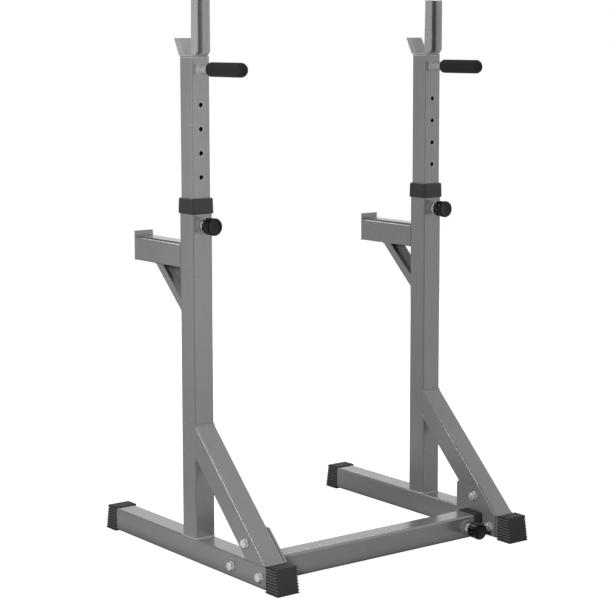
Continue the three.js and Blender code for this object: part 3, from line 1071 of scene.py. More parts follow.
@dataclass
class Foot(StandPart):
    """A foot tube with its two ribbed rubber caps."""

    rib_pitch: float = 6.2 * MM
    groove_radius: float = 2.1 * MM
    groove_depth: float = 2 * MM
    tip_depth: float = 3.2 * MM
    tip_gap: float = 2 * MM
    base_band: float = 4.2 * MM
    top_band: float = 4 * MM
    lean: float = 9 * MM
    flare: float = 0.5 * MM
    cap_corner: float = 1.6 * MM
    base_edge: float = 0.8 * MM
    pocket_length: float = 28.3 * MM

    def build(self) -> None:
        """Makes the tube and both caps."""
        box = self.box("foot_tube")
        drills = [box.drill(BOLT_HOLE, Axis.X, self.box(name).middle) for name in ("bolt_2", "bolt_3")]
        self.put(FRAME_TUBE.along(box, Axis.Y).minus(*drills), "foot", PAINT, "foot_tube")
        self.cap("front", -1)
        self.cap("back", 1)

    def cap(self, name: str, end: int) -> None:
        """A rubber cap: leaning end, ribs along both sides, plain band at the floor.

        Args:
            name: Which cap it is.
            end: The sign of its place along Y.
        """
        box = self.box(f"foot_cap_{name}")
        rim, tip = (box.high.y, box.low.y) if end < 0 else (box.low.y, box.high.y)
        form = Shape.block(box)
        for vert in form.bm.verts:
            if vert.co.z > box.middle.z:
                vert.co.x += -self.flare if vert.co.x > box.middle.x else self.flare
                if abs(vert.co.y - tip) < MM:
                    vert.co.y -= self.lean * end
        outer = tip - end * (self.lean + 3 * MM)
        form.round_edges(
            lambda e: runs_along(e, Axis.Z.vector, 0.8) and all((v.co.y - outer) * end > 0 for v in e.verts),
            self.cap_corner, 5)
        form.round_edges(lambda e: lies_at(e, Axis.Z, box.high.z, MM) and is_sharp(e), self.cap_corner, 3)
        form.round_edges(lambda e: lies_at(e, Axis.Z, box.low.z, TINY) and is_sharp(e), self.base_edge, 2)
        form.minus(*self.grooves(box, rim, end), crossing=True)
        pocket = sorted((rim + end * self.pocket_length, rim - end * OVERRUN))
        form.minus(FRAME_TUBE.socket(self.box("foot_tube"), Axis.Y, *pocket))
        rubber = RibbedRubber(
            "cap_rubber", (0.029, 0.029, 0.031), 0.6, grain=900, depth=0.05 * MM, gloss=0.2,
            first_groove=box.low.z + self.base_band, pitch=self.rib_pitch,
            sides=(abs(box.middle.x), box.size.x / 2),
        )
        self.put(form, f"rubber_cap_{name}", rubber, f"foot_cap_{name}")

    def grooves(self, box: Box, rim: float, end: int) -> list[Shape]:
        """The grooves between the ribs, as round tools that run along Y; deeper ones past the tube's end.

        Args:
            box: The cap's bounds.
            rim: Where the cap starts along Y.
            end: The sign of the cap's place along Y.

        Returns:
            The cutting tools.
        """
        tools = []
        length = box.size.y + 2 * OVERRUN
        deeper = rim + end * (self.pocket_length + self.tip_gap)
        runs = ((rim - end * OVERRUN, self.groove_depth), (deeper, self.tip_depth))
        z = box.low.z + self.base_band
        while z < box.high.z - self.top_band:
            taper = self.flare * (z - box.low.z) / box.size.z
            for begin, depth in runs:
                off = self.groove_radius - depth
                for x in (box.low.x + taper - off, box.high.x - taper + off):
                    tool = Shape.drum(self.groove_radius, length, 16)
                    tools.append(tool.aim(Vector((0, end, 0)), Vector((x, begin, z))))
            z += self.rib_pitch
        return tools


@dataclass
class Upright(StandPart):
    """The lower upright with its weld on the foot and the plastic guide on its top."""

    weld_radius: float = 2.1 * MM
    weld_tuck: float = 1.6 * MM
    weld_reach: float = 0.5 * MM
    taper: float = 0.7 * MM
    guide_corner: float = 6 * MM
    top_edge: float = 3.6 * MM
    base_edge: float = 2.2 * MM

    def build(self) -> None:
        """Makes the tube, its weld bead and the guide."""
        box = self.box("upright_tube")
        at = Vector((box.middle.x, 0, self.box("height_pin_rod").middle.z))
        hole = box.drill(PIN_HOLE, Axis.Y, at, PIN_DRILL)
        self.put(FRAME_TUBE.along(box, Axis.Z).minus(hole), "upright", PAINT, "upright_tube")
        half = box.size.x / 2
        path = loop_path(
            box.face(Axis.Z, -1, SINK), (Axis.X, Axis.Y), (half - self.weld_tuck, half + self.weld_reach),
            FRAME_TUBE.corner)
        # The bead is lighter than the frame: painted highlight.
        self.put(bead(path, self.weld_radius), "upright_weld", WELD_HIGHLIGHT_PAINT)
        self.guide()

    def guide(self) -> None:
        """The plastic guide: tapered sides and soft edges, fitted round the tube and the post."""
        box, tube = self.box("collar"), self.box("upright_tube")
        form = Shape.block(box)
        for vert in form.bm.verts:
            if vert.co.z > box.middle.z:
                for k in (0, 1):
                    vert.co[k] += -self.taper if vert.co[k] > box.middle[k] else self.taper
        form.round_edges(lambda e: runs_along(e, Axis.Z.vector, 0.9), self.guide_corner, 8)
        form.round_edges(lambda e: lies_at(e, Axis.Z, box.high.z, TINY), self.top_edge, 6)
        form.round_edges(lambda e: lies_at(e, Axis.Z, box.low.z, TINY), self.base_edge, 4)
        form.minus(FRAME_TUBE.socket(tube, Axis.Z, box.low.z - OVERRUN, tube.high.z + FIT))
        form.minus(POST_TUBE.socket(self.box("post_tube"), Axis.Z, box.low.z, box.high.z + OVERRUN))
        self.put(form, "post_guide", GUIDE_PLASTIC, "collar")


@dataclass
class Brace(StandPart):
    """The diagonal brace with its weld beads."""

    def build(self) -> None:
        """Makes the brace, cut along the upright and the foot, and its welds."""
        box = self.box("diagonal_brace")
        size, run, rise = box.size
        slope = math.atan2(rise, run)
        below = Vector((0, math.sin(slope), -math.cos(slope)))
        half = Vector((size / 2, math.hypot(rise, run) / 2 + 2 * size, size / 2))
        inner = half - Vector((FRAME_TUBE.wall, -OVERRUN, FRAME_TUBE.wall))
        place = Matrix.Translation(box.middle + below * (size / 2)) @ Matrix.Rotation(slope, 4, "X")
        outer = Shape.bar(Box(-half, half), Axis.Y, FRAME_TUBE.corner).transform(place)
        bore = Shape.bar(Box(-inner, inner), Axis.Y, FRAME_TUBE.corner - FRAME_TUBE.wall).transform(place)
        for form, extra in ((outer, 0.0), (bore, MM)):
            form.trim(Vector((0, box.high.y + extra, 0)), Axis.Y.vector)
            form.trim(Vector((0, 0, box.low.z - extra)), -Axis.Z.vector)
        drill = box.drill(BOLT_HOLE, Axis.X, self.box("bolt_1").middle)
        self.put(outer.minus(bore).minus(drill), "brace", PAINT, "diagonal_brace")
        self.welds(box, slope)

    def welds(self, box: Box, slope: float) -> None:
        """The beads round the brace's top and bottom.

        Args:
            box: The brace's bounds.
            slope: The brace's slope.
        """
        half = box.size.x / 2
        tall, long = half / math.cos(slope), half / math.sin(slope)
        top = Vector((box.middle.x, box.high.y + SINK, box.high.z - tall))
        bottom = Vector((box.middle.x, box.low.y + long, box.low.z - SINK))
        upper = bead(loop_path(top, (Axis.X, Axis.Z), (half - WELD_TUCK, tall + WELD_REACH), WELD_CORNER))
        lower = bead(loop_path(bottom, (Axis.X, Axis.Y), (half - WELD_TUCK, long + WELD_REACH), WELD_CORNER))
        self.put(upper.add(lower), "brace_welds", PAINT)


@dataclass
class SpotterArm(StandPart):
    """The spotter arm with its end stop, rail strip, gusset and welds."""

    stop_corner: float = 1.5 * MM
    stop_edge: float = 0.5 * MM
    tab_width: float = 45 * MM
    strip_corner: float = 2 * MM
    strip_edge: float = 0.35 * MM
    seam_depth: float = 2.5 * MM
    seam_height: float = 1.7 * MM
    gusset_depth: float = 20 * MM
    gusset_wall: float = 3 * MM
    gusset_edge: float = 0.4 * MM
    fold_outside: float = 4.5 * MM
    fold_inside: float = 1.5 * MM
    stop_weld: float = MM
    gusset_weld: float = 1.3 * MM
    gusset_weld_start: float = 2 * MM
    gusset_weld_stop: float = 3 * MM

    def build(self) -> None:
        """Makes the arm and what is welded to it."""
        arm, stop = self.box("spotter_arm"), self.box("spotter_stop")
        self.put(FRAME_TUBE.along(arm, Axis.Y), "arm", PAINT, "spotter_arm")
        notch = Shape.block(Box(
            Vector((stop.low.x + self.tab_width, stop.low.y - OVERRUN, arm.high.z)),
            stop.high + Vector((OVERRUN, OVERRUN, OVERRUN)),
        ))
        form = Shape.block(stop).minus(notch).round_along(Axis.Y, self.stop_corner, 4).soften(self.stop_edge)
        self.put(form, "arm_stop", PAINT, "spotter_stop")
        self.strip()
        self.gusset()
        self.welds()

    def strip(self) -> None:
        """The strip on the arm, undercut along both sides so that it shows a dark seam."""
        box = self.box("arm_rail")
        seams = [
            Shape.block(Box(
                Vector((start, box.low.y - OVERRUN, box.low.z)),
                Vector((end, box.high.y + OVERRUN, box.low.z + self.seam_height)),
            ))
            for start, end in (
                (box.low.x - OVERRUN, box.low.x + self.seam_depth),
                (box.high.x - self.seam_depth, box.high.x + OVERRUN),
            )
        ]
        form = Shape.block(box).round_along(Axis.Z, self.strip_corner, 4).minus(*seams).soften(self.strip_edge)
        self.put(form, "arm_strip", PAINT, "arm_rail")

    def gusset(self) -> None:
        """The folded gusset: a channel whose flanges face the corner."""
        box = self.box("arm_gusset")
        low, high = box.low, box.high
        _, reach, drop = box.size
        slope = math.atan2(drop, reach)
        depth, wall = self.gusset_depth, self.gusset_wall
        rise = OVERRUN * math.tan(slope)
        far = high.y - wall / math.sin(slope) + OVERRUN
        near = low.y - OVERRUN
        form = Shape.side_outline([
            (low.y, low.z), (high.y, high.z), (high.y - depth / math.sin(slope), high.z),
            (low.y, low.z + depth / math.cos(slope)),
        ], low.x, high.x)
        pocket = Shape.side_outline([
            (near, low.z + wall / math.cos(slope) - rise), (far, high.z + rise), (far, high.z + drop),
            (near, high.z + drop),
        ], low.x + wall, high.x - wall)
        fold = Vector((0, reach, drop)).normalized()
        upwards = Vector((0, -math.sin(slope), math.cos(slope)))
        for shape, level, radius, steps in ((form, 0.0, self.fold_outside, 6), (pocket, wall, self.fold_inside, 4)):
            shape.round_edges(
                lambda e: runs_along(e, fold) and abs((e.verts[0].co - low).dot(upwards) - level) < MM, radius, steps)
        form.minus(pocket).soften(self.gusset_edge, 2, FOLD_ANGLE)
        self.put(form, "gusset", PAINT, "arm_gusset")

    def welds(self) -> None:
        """The beads round the arm's root and stop and at the gusset's ends."""
        arm, gusset = self.box("spotter_arm"), self.box("arm_gusset")
        half = arm.size.x / 2
        tuck, axes = half - WELD_TUCK, (Axis.X, Axis.Z)
        form = bead(loop_path(arm.face(Axis.Y, -1, SINK), axes, (tuck, half + WELD_REACH), WELD_CORNER))
        form.add(bead(loop_path(arm.face(Axis.Y, 1, SINK), axes, (tuck, tuck), FRAME_TUBE.corner), self.stop_weld))
        slope = math.atan2(gusset.size.z, gusset.size.y)
        deep_y, deep_z = self.gusset_depth / math.sin(slope), self.gusset_depth / math.cos(slope)
        for x in (gusset.low.x + WELD_REACH, gusset.high.x - WELD_REACH):
            top = Vector((x, gusset.high.y - deep_y, gusset.high.z + SINK))
            foot = Vector((x, gusset.low.y - SINK, gusset.low.z + self.gusset_weld_start))
            inwards = Vector((0, deep_y - self.gusset_weld_stop, 0))
            upwards = Vector((0, 0, deep_z - self.gusset_weld_start))
            for start, run in ((top, inwards), (foot, upwards)):
                form.add(bead(line_path(start, run), self.gusset_weld, False))
        self.put(form, "arm_welds", PAINT)


@dataclass
class Post(StandPart):
    """The sliding post: its holed tube, closing plate, bar catch and foam grip."""

    hole_radius: float = 5 * MM
    hole_pitch: float = 50 * MM
    hole_count: int = 13
    top_inset: float = 97.5 * MM
    plate_edge: float = 0.4 * MM
    catch_wall: float = 3 * MM
    catch_depth: float = 23 * MM
    catch_chamfer: float = 9 * MM
    catch_edge: float = 0.45 * MM
    fold_outside: float = 4.5 * MM
    fold_inside: float = 1.5 * MM
    seat_length: float = 26 * MM
    lip_depth: float = 18 * MM
    lip_height: float = 36.5 * MM
    lip_lean: float = 19 * MM
    peg_radius: float = 10 * MM
    peg_wall: float = 2 * MM
    dome_depth: float = 13 * MM
    vent_depth: float = 1.5 * MM
    foam_end_wall: float = 8 * MM
    top_weld: float = 1.2 * MM
    top_weld_tuck: float = 0.4 * MM
    top_weld_sink: float = 0.15 * MM
    catch_weld: float = 1.6 * MM
    catch_weld_start: float = 3 * MM
    catch_weld_length: float = 40 * MM
    peg_weld: float = 1.9 * MM
    peg_weld_ring: float = 10.6 * MM

    def build(self) -> None:
        """Makes the post and what rides on it."""
        box = self.box("post_tube")
        first = Vector((box.middle.x, box.low.y, box.high.z - self.top_inset))
        finish = SlidingPaint(
            "post_paint", POST_PAINT.colour, POST_PAINT.roughness, POST_PAINT.metallic, title="sliding_post",
            first_hole=first.z, pitch=self.hole_pitch, middle=abs(first.x), core=box.middle.y,
        )
        holes = hole_row(self.hole_radius, first, Vector((0, 0, -self.hole_pitch)), self.hole_count)
        self.put(POST_TUBE.along(box, Axis.Z).minus(*holes), "holed_post", finish, "post_tube", "post")
        plate = Shape.bar(self.box("post_top_plate"), Axis.Z, POST_TUBE.corner).soften(self.plate_edge)
        self.put(plate, "post_plate", POST_PAINT, "post_top_plate", "post")
        self.catch()
        self.grip()
        self.welds()

    def catch(self) -> None:
        """The bar catch: a tall channel, a base and a leaning lip, with rounded bends."""
        box = self.box("bar_catch")
        rear, base, top = box.low.y, box.low.z, box.high.z
        wall, chamfer = self.catch_wall, self.catch_chamfer
        web = rear + self.catch_depth
        lip = web + self.seat_length
        lip_out, lip_top = lip + self.lip_depth, base + self.lip_height
        floor, over = base + wall, lip_top + OVERRUN

        def at(y: float, z: float) -> tuple[float, float]:
            """A point on a line that leans as the lip does, from its place at the base's level."""
            return y + self.lip_lean * (z - base) / (lip_top - base), z

        def before(edge: bmesh.types.BMEdge, y: float) -> bool:
            """Whether an edge is no further out than such a line."""
            place = edge.verts[0].co
            return place.y < at(y, place.z)[0] + MM

        form = Shape.side_outline([
            (rear + chamfer, base), (lip_out, base), at(lip_out, lip_top), at(lip, lip_top), at(lip, floor),
            (web, floor), (web, top), (rear, top), (rear, base + chamfer),
        ], box.low.x, box.high.x)
        upright, slanted = Axis.Z.vector, Vector((0, self.lip_lean, lip_top - base)).normalized()
        form.round_edges(
            lambda e: runs_along(e, upright) and lies_at(e, Axis.Y, web)
            or runs_along(e, slanted) and before(e, lip) and e.verts[0].co.y > web + MM,
            self.fold_outside, 6,
        )
        x0, x1 = box.low.x + wall, box.high.x - wall
        tall_pocket = Shape.block(Box(Vector((x0, rear - OVERRUN, floor)), Vector((x1, web - wall, top + OVERRUN))))
        tall_pocket.round_edges(
            lambda e: runs_along(e, upright) and lies_at(e, Axis.Y, web - wall), self.fold_inside, 4)
        inner, outer = lip + wall, lip_out + OVERRUN
        lip_pocket = Shape.side_outline([at(inner, floor), at(outer, floor), at(outer, over), at(inner, over)], x0, x1)
        lip_pocket.round_edges(lambda e: runs_along(e, slanted) and before(e, inner), self.fold_inside, 4)
        form.minus(tall_pocket).minus(lip_pocket).soften(self.catch_edge, 2, FOLD_ANGLE)
        # Lighter copy of the post's paint: painted light.
        self.put(form, "catch", LIT_CATCH_PAINT, "bar_catch", "post")

    def grip(self) -> None:
        """The steel peg and the foam sleeve with its domed end."""
        peg, foam = self.box("grip_peg"), self.box("foam_grip")
        root = Vector((foam.middle.x, peg.high.y, foam.middle.z))
        inner, length = self.peg_radius - self.peg_wall, peg.size.y
        form = Shape.turned([(inner, 0), (self.peg_radius, 0), (self.peg_radius, length), (inner, length)])
        # The peg is lighter than the post: painted light.
        self.put(form.aim(-Axis.Y.vector, root), "peg", LIT_CATCH_PAINT, "grip_peg", "post")
        start, end, radius = peg.high.y - foam.high.y, peg.high.y - foam.low.y, foam.size.x / 2
        bore, back = self.peg_radius + FIT, end - self.foam_end_wall
        dome = []
        for k in range(3, 13):
            angle = math.pi / 2 * k / 12
            dome.append((radius * math.sin(angle), end - self.dome_depth * (1 - math.cos(angle))))
        profile = [
            (0, end - self.vent_depth), (2.2 * MM, end - 1.3 * MM), (2.9 * MM, end - 0.35 * MM),
            (3.4 * MM, end - 0.45 * MM), *dome, (radius, start + 3 * MM), (radius - 0.5 * MM, start + 1.2 * MM),
            (radius - 1.6 * MM, start + 0.25 * MM), (radius - 2.4 * MM, start), (bore, start), (bore, back), (0, back),
        ]
        sleeve = Shape.turned(profile, 64).aim(-Axis.Y.vector, root)
        long_edges = [e for e in sleeve.bm.edges if e.calc_length() > (end - start) / 3]
        bmesh.ops.subdivide_edges(sleeve.bm, edges=long_edges, cuts=24, use_grid_fill=True)
        self.put(sleeve, "foam_sleeve", FOAM, "foam_grip", "post")

    def welds(self) -> None:
        """The beads at the post's top, under the catch and round the peg."""
        box, catch = self.box("post_tube"), self.box("bar_catch")
        half, ring = box.size.x / 2 - self.top_weld_tuck, self.peg_weld_ring
        top = box.face(Axis.Z, 1, self.top_weld_sink)
        form = bead(loop_path(top, (Axis.X, Axis.Y), (half, half), POST_TUBE.corner), self.top_weld)
        for x in (catch.low.x, catch.high.x):
            start = Vector((x, box.low.y + self.catch_weld_start, catch.low.z + WELD_REACH))
            form.add(bead(line_path(start, Vector((0, self.catch_weld_length, 0))), self.catch_weld, False))
        root = Vector((box.middle.x, box.low.y, self.box("foam_grip").middle.z))
        form.add(bead(loop_path(root, (Axis.X, Axis.Z), (ring, ring), ring), self.peg_weld))
        # Lighter than the post: painted highlight on the beads.
        self.put(form, "post_welds", WELD_HIGHLIGHT_PAINT, body="post")


@dataclass
class SpringPin:
    """A spring pin: weld nut, plated barrel, rod, spring and moulded knob, along -Y from a tube's face."""

    prefix: str
    stand_body: str
    travel: float = 8 * MM
    bore: float = 7 * MM
    nut_weld: float = 1.3 * MM
    barrel_radius: float = 9.4 * MM
    barrel_start: float = 4.3 * MM
    rod_hole: float = 4.5 * MM
    cover: float = 2.5 * MM
    rings: int = 5
    ring_pitch: float = 2.4 * MM
    rod_radius: float = 4 * MM
    rod_end: float = 36 * MM
    shoulder_radius: float = 6.2 * MM
    shoulder: tuple[float, float] = (0.3 * MM, 2.8 * MM)
    coil_radius: float = 5.6 * MM
    wire_radius: float = 0.5 * MM
    coil: tuple[float, float] = (3.6 * MM, 20.7 * MM)
    coil_seats: tuple[float, float] = (2.9 * MM, 21.5 * MM)
    turns: int = 7
    turn_steps: int = 24
    flutes: int = 12
    flute_circle: float = 18.1 * MM
    flute_start: float = 18 * MM
    flute_radius: float = 2.9 * MM

    def build(self) -> None:
        """Makes the pin's pieces."""
        box = Box.of(f"{self.prefix}_pin_housing")
        root = box.face(Axis.Y, 1, FIT)
        self.housing(box, root)
        self.rod(root)
        self.spring(root)
        self.knob(root)

    def put(self, form: Shape, name: str, finish: Finish, moving: bool, node: str = "") -> bpy.types.Object:
        """Makes a form a finished piece of this pin.

        Args:
            form: The form.
            name: The piece's name without the pin's.
            finish: Its surface finish.
            moving: Whether it is pulled with the knob.
            node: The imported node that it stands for, without the pin's name; none for the weld nut.

        Returns:
            The piece's object.
        """
        nodes = [f"{self.prefix}_pin_{node}"] if node else []
        body = f"{self.prefix}_pin" if moving else self.stand_body
        return form.piece(f"{self.prefix}_pin_{name}", body, finish, nodes)

    def housing(self, box: Box, root: Vector) -> None:
        """The painted weld nut and the plated barrel.

        Args:
            box: The housing's bounds.
            root: Where the pin starts.
        """
        wide, length, bore, radius = box.size.x / 2, box.size.y + FIT, self.bore, self.barrel_radius
        nut = Shape.turned([
            (bore, FIT), (wide, FIT), (wide, 3.2 * MM), (wide - 0.8 * MM, 3.9 * MM), (radius + 0.2 * MM, 4 * MM),
            (bore, 4 * MM),
        ]).aim(-Axis.Y.vector, root)
        nut.add(bead(loop_path(root, (Axis.X, Axis.Z), (wide, wide), wide - TINY), self.nut_weld))
        self.put(nut, "weld_nut", PAINT, False)
        grooves, waist = [], radius - 0.7 * MM
        for k in range(self.rings):
            start = 6 * MM + self.ring_pitch * k
            grooves += [(radius, start), (waist, start + 0.5 * MM), (waist, start + 0.9 * MM),
                        (radius, start + 1.4 * MM)]
        barrel = Shape.turned([
            (bore, self.barrel_start), (radius, self.barrel_start), *grooves, (radius, length - 0.8 * MM),
            (radius - 0.8 * MM, length), (self.rod_hole, length), (self.rod_hole, length - self.cover),
            (bore, length - self.cover),
        ])
        self.put(barrel.aim(-Axis.Y.vector, root), "barrel", ZINC, False, "housing")

    def rod(self, root: Vector) -> None:
        """The plated rod with its shoulder and chamfered tip.

        Args:
            root: Where the pin starts.
        """
        radius, wide, (low, high) = self.rod_radius, self.shoulder_radius, self.shoulder
        form = Shape.turned([
            (0, -9 * MM), (2.8 * MM, -9 * MM), (3.6 * MM, -8.4 * MM), (radius, -7.6 * MM), (radius, low),
            (wide, low), (wide, high), (radius, high), (radius, self.rod_end), (0, self.rod_end),
        ], SMALL_SIDES)
        self.put(form.aim(-Axis.Y.vector, root), "plunger", ZINC, True, "rod")

    def spring(self, root: Vector) -> None:
        """The spring between the rod's shoulder and the barrel's end.

        Args:
            root: Where the pin starts.
        """
        (start, end), radius, wire = self.coil, self.coil_radius, self.wire_radius
        points = []
        for k in range(self.turns * self.turn_steps + 1):
            turned = k / self.turn_steps
            angle = 2 * math.pi * turned
            climb = min(1.0, max(0.0, (turned - 0.9) / (self.turns - 1.8)))
            along = start + wire * min(1.0, turned) + (end - start - 2 * wire) * climb
            points.append(root + Vector((radius * math.cos(angle), -along, radius * math.sin(angle))))
        coil = self.put(Shape.wire(points, wire, False), "coil", SPRING_STEEL, False, "spring")
        seat, fixed = self.coil_seats
        anchor = root - Vector((0, fixed, 0))
        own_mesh(coil)

    def knob(self, root: Vector) -> None:
        """The moulded knob: rear ring, fluted waist and a dished head.

        Args:
            root: Where the pin starts.
        """
        form = Shape.turned([(radius * MM, distance * MM) for radius, distance in KNOB_PROFILE], 72)
        flute = Shape.turned([
            (0, 0), (self.flute_radius, 0), (self.flute_radius, 15.6 * MM), (2.2 * MM, 17.4 * MM),
            (1.1 * MM, 18.3 * MM), (0, 18.6 * MM),
        ], 16)
        tools = []
        for k in range(self.flutes):
            angle = 2 * math.pi * k / self.flutes
            x, y = self.flute_circle * math.cos(angle), self.flute_circle * math.sin(angle)
            tools.append(flute.copy().move(Vector((x, y, self.flute_start))))
        self.put(form.minus(*tools).aim(-Axis.Y.vector, root), "grip", KNOB_PLASTIC, True, "knob")


@dataclass
class HexBolt(StandPart):
    """A hex bolt with its washer, and its nut with another, at a packed bolt's place."""

    number: int
    flats: float = 17 * MM
    head: float = 6.4 * MM
    nut: float = 8 * MM
    washer: float = 2 * MM
    washer_radius: float = 10 * MM
    shank_radius: float = 4.9 * MM
    thread_pitch: float = 1.5 * MM
    threads: int = 9
    nut_hole: float = 5.1 * MM
    washer_hole: float = 5.3 * MM
    turn_step: float = math.radians(17)
    nut_turn: float = 0.4

    def build(self) -> None:
        """Makes the bolt and the nut, each with its washer."""
        sign = self.side.value
        out = Axis.X.vector * sign
        turn = self.turn_step * self.number
        bolt, nut = self.box(f"bolt_{self.number}"), self.box(f"nut_{self.number}")
        tip = bolt.face(Axis.X, sign)
        top = self.head + self.washer
        head = self.hexagon(self.head, turn).aim(out, tip - out * self.head)
        shank = self.shank(bolt.size.x - top).aim(out, bolt.face(Axis.X, -sign))
        head.add(self.ring().aim(out, tip - out * top), shank)
        self.put(head, f"hex_bolt_{self.number}", ZINC, f"bolt_{self.number}")
        face = Vector((nut.face(Axis.X, sign).x, tip.y, tip.z))
        form = self.hexagon(self.nut, turn + self.nut_turn, self.nut_hole).aim(-out, face - out * self.washer)
        self.put(form.add(self.ring().aim(-out, face)), f"hex_nut_{self.number}", ZINC, f"nut_{self.number}")

    def hexagon(self, height: float, turn: float, bore: float = 0.0) -> Shape:
        """A hexagon with its corners turned off at the top, from the origin along +Z.

        Args:
            height: Its height.
            turn: How far it is turned.
            bore: Radius of its hole, or 0.

        Returns:
            The hexagon.
        """
        radius = self.flats / math.sqrt(3)
        wide, snug = radius + 5 * MM, radius + 0.1 * MM
        form = Shape.drum(radius, height, 6)
        blank = Shape.turned([(0, -MM), (wide, -MM), (wide, height + 5 * MM), (0, height + 5 * MM)], 60)
        kept = Shape.turned([
            (0, -2 * MM), (snug, -2 * MM), (snug, height - 1.15 * MM), (self.flats / 2 - 0.3 * MM, height),
            (0, height),
        ], 60)
        form.minus(blank.minus(kept))
        if bore:
            form.minus(Shape.drum(bore, height + 2 * OVERRUN).move(Vector((0, 0, -OVERRUN))))
        return form.soften(0.25 * MM, 2, math.radians(25)).transform(Matrix.Rotation(turn, 4, "Z"))

    def ring(self) -> Shape:
        """A flat washer, from the origin along +Z.

        Returns:
            The washer.
        """
        hole, radius, high, edge = self.washer_hole, self.washer_radius, self.washer, 0.3 * MM
        return Shape.turned([
            (hole, 0), (radius - edge, 0), (radius, edge), (radius, high - edge), (radius - edge, high), (hole, high),
        ])

    def shank(self, length: float) -> Shape:
        """The shank with thread rings near its end, from its end along +Z.

        Args:
            length: Its length.

        Returns:
            The shank.
        """
        profile = [(0, 0), (4.1 * MM, 0)]
        for k in range(self.threads):
            start = 0.5 * MM + self.thread_pitch * k
            profile += [(4.35 * MM, start), (4.95 * MM, start + self.thread_pitch / 2)]
        profile += [(self.shank_radius, 16 * MM), (self.shank_radius, length), (0, length)]
        return Shape.turned(profile, SMALL_SIDES)


@dataclass
class CrossPlate(StandPart):
    """The plate that carries the cross bar, with its bolts and nuts."""

    corner: float = 8 * MM
    base_corner: float = 3 * MM
    edge: float = 0.5 * MM

    def build(self) -> None:
        """Makes the three bolts and the plate, whose slanted side follows the brace."""
        box, brace = self.box("cross_plate"), self.box("diagonal_brace")
        low, high = box.low, box.high
        _, run, rise = brace.size
        slanted = brace.low.y + (high.z - brace.low.z) * run / rise
        below = brace.low.z + (low.y - brace.low.y) * rise / run
        form = Shape.side_outline([
            (low.y, low.z), (high.y, low.z), (high.y, high.z), (slanted, high.z), (low.y, below),
        ], low.x, high.x)
        form.round_edges(
            lambda e: lies_at(e, Axis.Y, high.y) and lies_at(e, Axis.Z, high.z), self.corner, 8)
        form.round_edges(
            lambda e: lies_at(e, Axis.Z, low.z) and runs_along(e, Axis.X.vector), self.base_corner, 4)
        drills = []
        for k in (1, 2, 3):
            drills.append(box.drill(BOLT_HOLE, Axis.X, self.box(f"bolt_{k}").middle))
            HexBolt(self.side, k).build()
        self.put(form.soften(self.edge).minus(*drills), "bar_plate", PAINT, "cross_plate")


@dataclass
class CrossBar:
    """The telescoping cross bar: outer tube, inner tube, bush and welds."""

    pitch: float = 50 * MM
    hole_radius: float = 5 * MM
    hole_count: int = 7
    bush_corner: float = 6 * MM
    bush_edge: float = 0.8 * MM
    inner_tuck: float = 2.3 * MM
    inner_corner: float = 4 * MM

    def build(self) -> None:
        """Makes both tubes, the bush and the beads at the plates."""
        outer, inner, bush = (Box.of(f"cross_bar_{name}") for name in ("outer", "inner", "bush"))
        pin = Box.of("width_pin_rod").middle
        hole = outer.drill(PIN_HOLE, Axis.Y, pin, PIN_DRILL)
        FRAME_TUBE.along(outer, Axis.X).minus(hole).piece("cross_bar_sleeve", "left_stand", PAINT, ["cross_bar_outer"])
        finish = SlidingPaint(
            "post_paint", POST_PAINT.colour, POST_PAINT.roughness, POST_PAINT.metallic, title="sliding_bar",
            along=Axis.X, across=Axis.Z, first_hole=pin.x, pitch=self.pitch, middle=pin.z, core=inner.middle.y,
        )
        first = Vector((pin.x, inner.low.y, pin.z))
        holes = hole_row(self.hole_radius, first, Vector((-self.pitch, 0, 0)), self.hole_count)
        POST_TUBE.along(inner, Axis.X).minus(*holes).piece(
            "cross_bar_slider", "right_stand", finish, ["cross_bar_inner"])
        form = Shape.bar(bush, Axis.X, self.bush_corner, 8).soften(self.bush_edge, 3)
        form.minus(FRAME_TUBE.socket(outer, Axis.X, bush.low.x - OVERRUN, outer.high.x + FIT))
        form.minus(POST_TUBE.socket(inner, Axis.X, bush.low.x, bush.high.x + OVERRUN))
        form.piece("cross_bar_guide", "left_stand", GUIDE_PLASTIC, ["cross_bar_bush"])
        half, axes = outer.size.z / 2, (Axis.Y, Axis.Z)
        left = outer.face(Axis.X, -1, SINK)
        right = Vector((inner.high.x + SINK, left.y, left.z))
        wide, narrow = half + WELD_REACH, half - self.inner_tuck
        bead(loop_path(left, axes, (wide, wide), WELD_CORNER)).piece("cross_bar_left_weld", "left_stand", PAINT)
        bead(loop_path(right, axes, (narrow, narrow), self.inner_corner)).piece(
            "cross_bar_right_weld", "right_stand", PAINT)


@dataclass(frozen=True)
class Sector:
    """One side of the studio: heading in degrees, brightness of floor and wall, and where it fades in."""

    heading: float
    share: float
    wall: float
    edge: float
    full: float


@dataclass(frozen=True)
class Lamp:
    """A soft rectangular lamp, aimed at a point and unseen by the camera; its power is in watts."""

    name: str
    place: tuple[float, float, float]
    target: tuple[float, float, float]
    size: tuple[float, float]
    power: float
    mirrored: bool = True

    def build(self) -> None:
        """Hangs the lamp."""
        light = bpy.data.lights.new(self.name, "AREA")
        light.shape = "RECTANGLE"
        light.size, light.size_y = self.size
        light.energy = self.power
        holder = bpy.data.objects.new(self.name, light)
        holder.visible_camera = False
        holder.visible_glossy = self.mirrored
        holder.location = self.place
        towards = Vector(self.target) - Vector(self.place)
        holder.rotation_euler = towards.to_track_quat("-Z", "Y").to_euler()
        bpy.context.scene.collection.objects.link(holder)


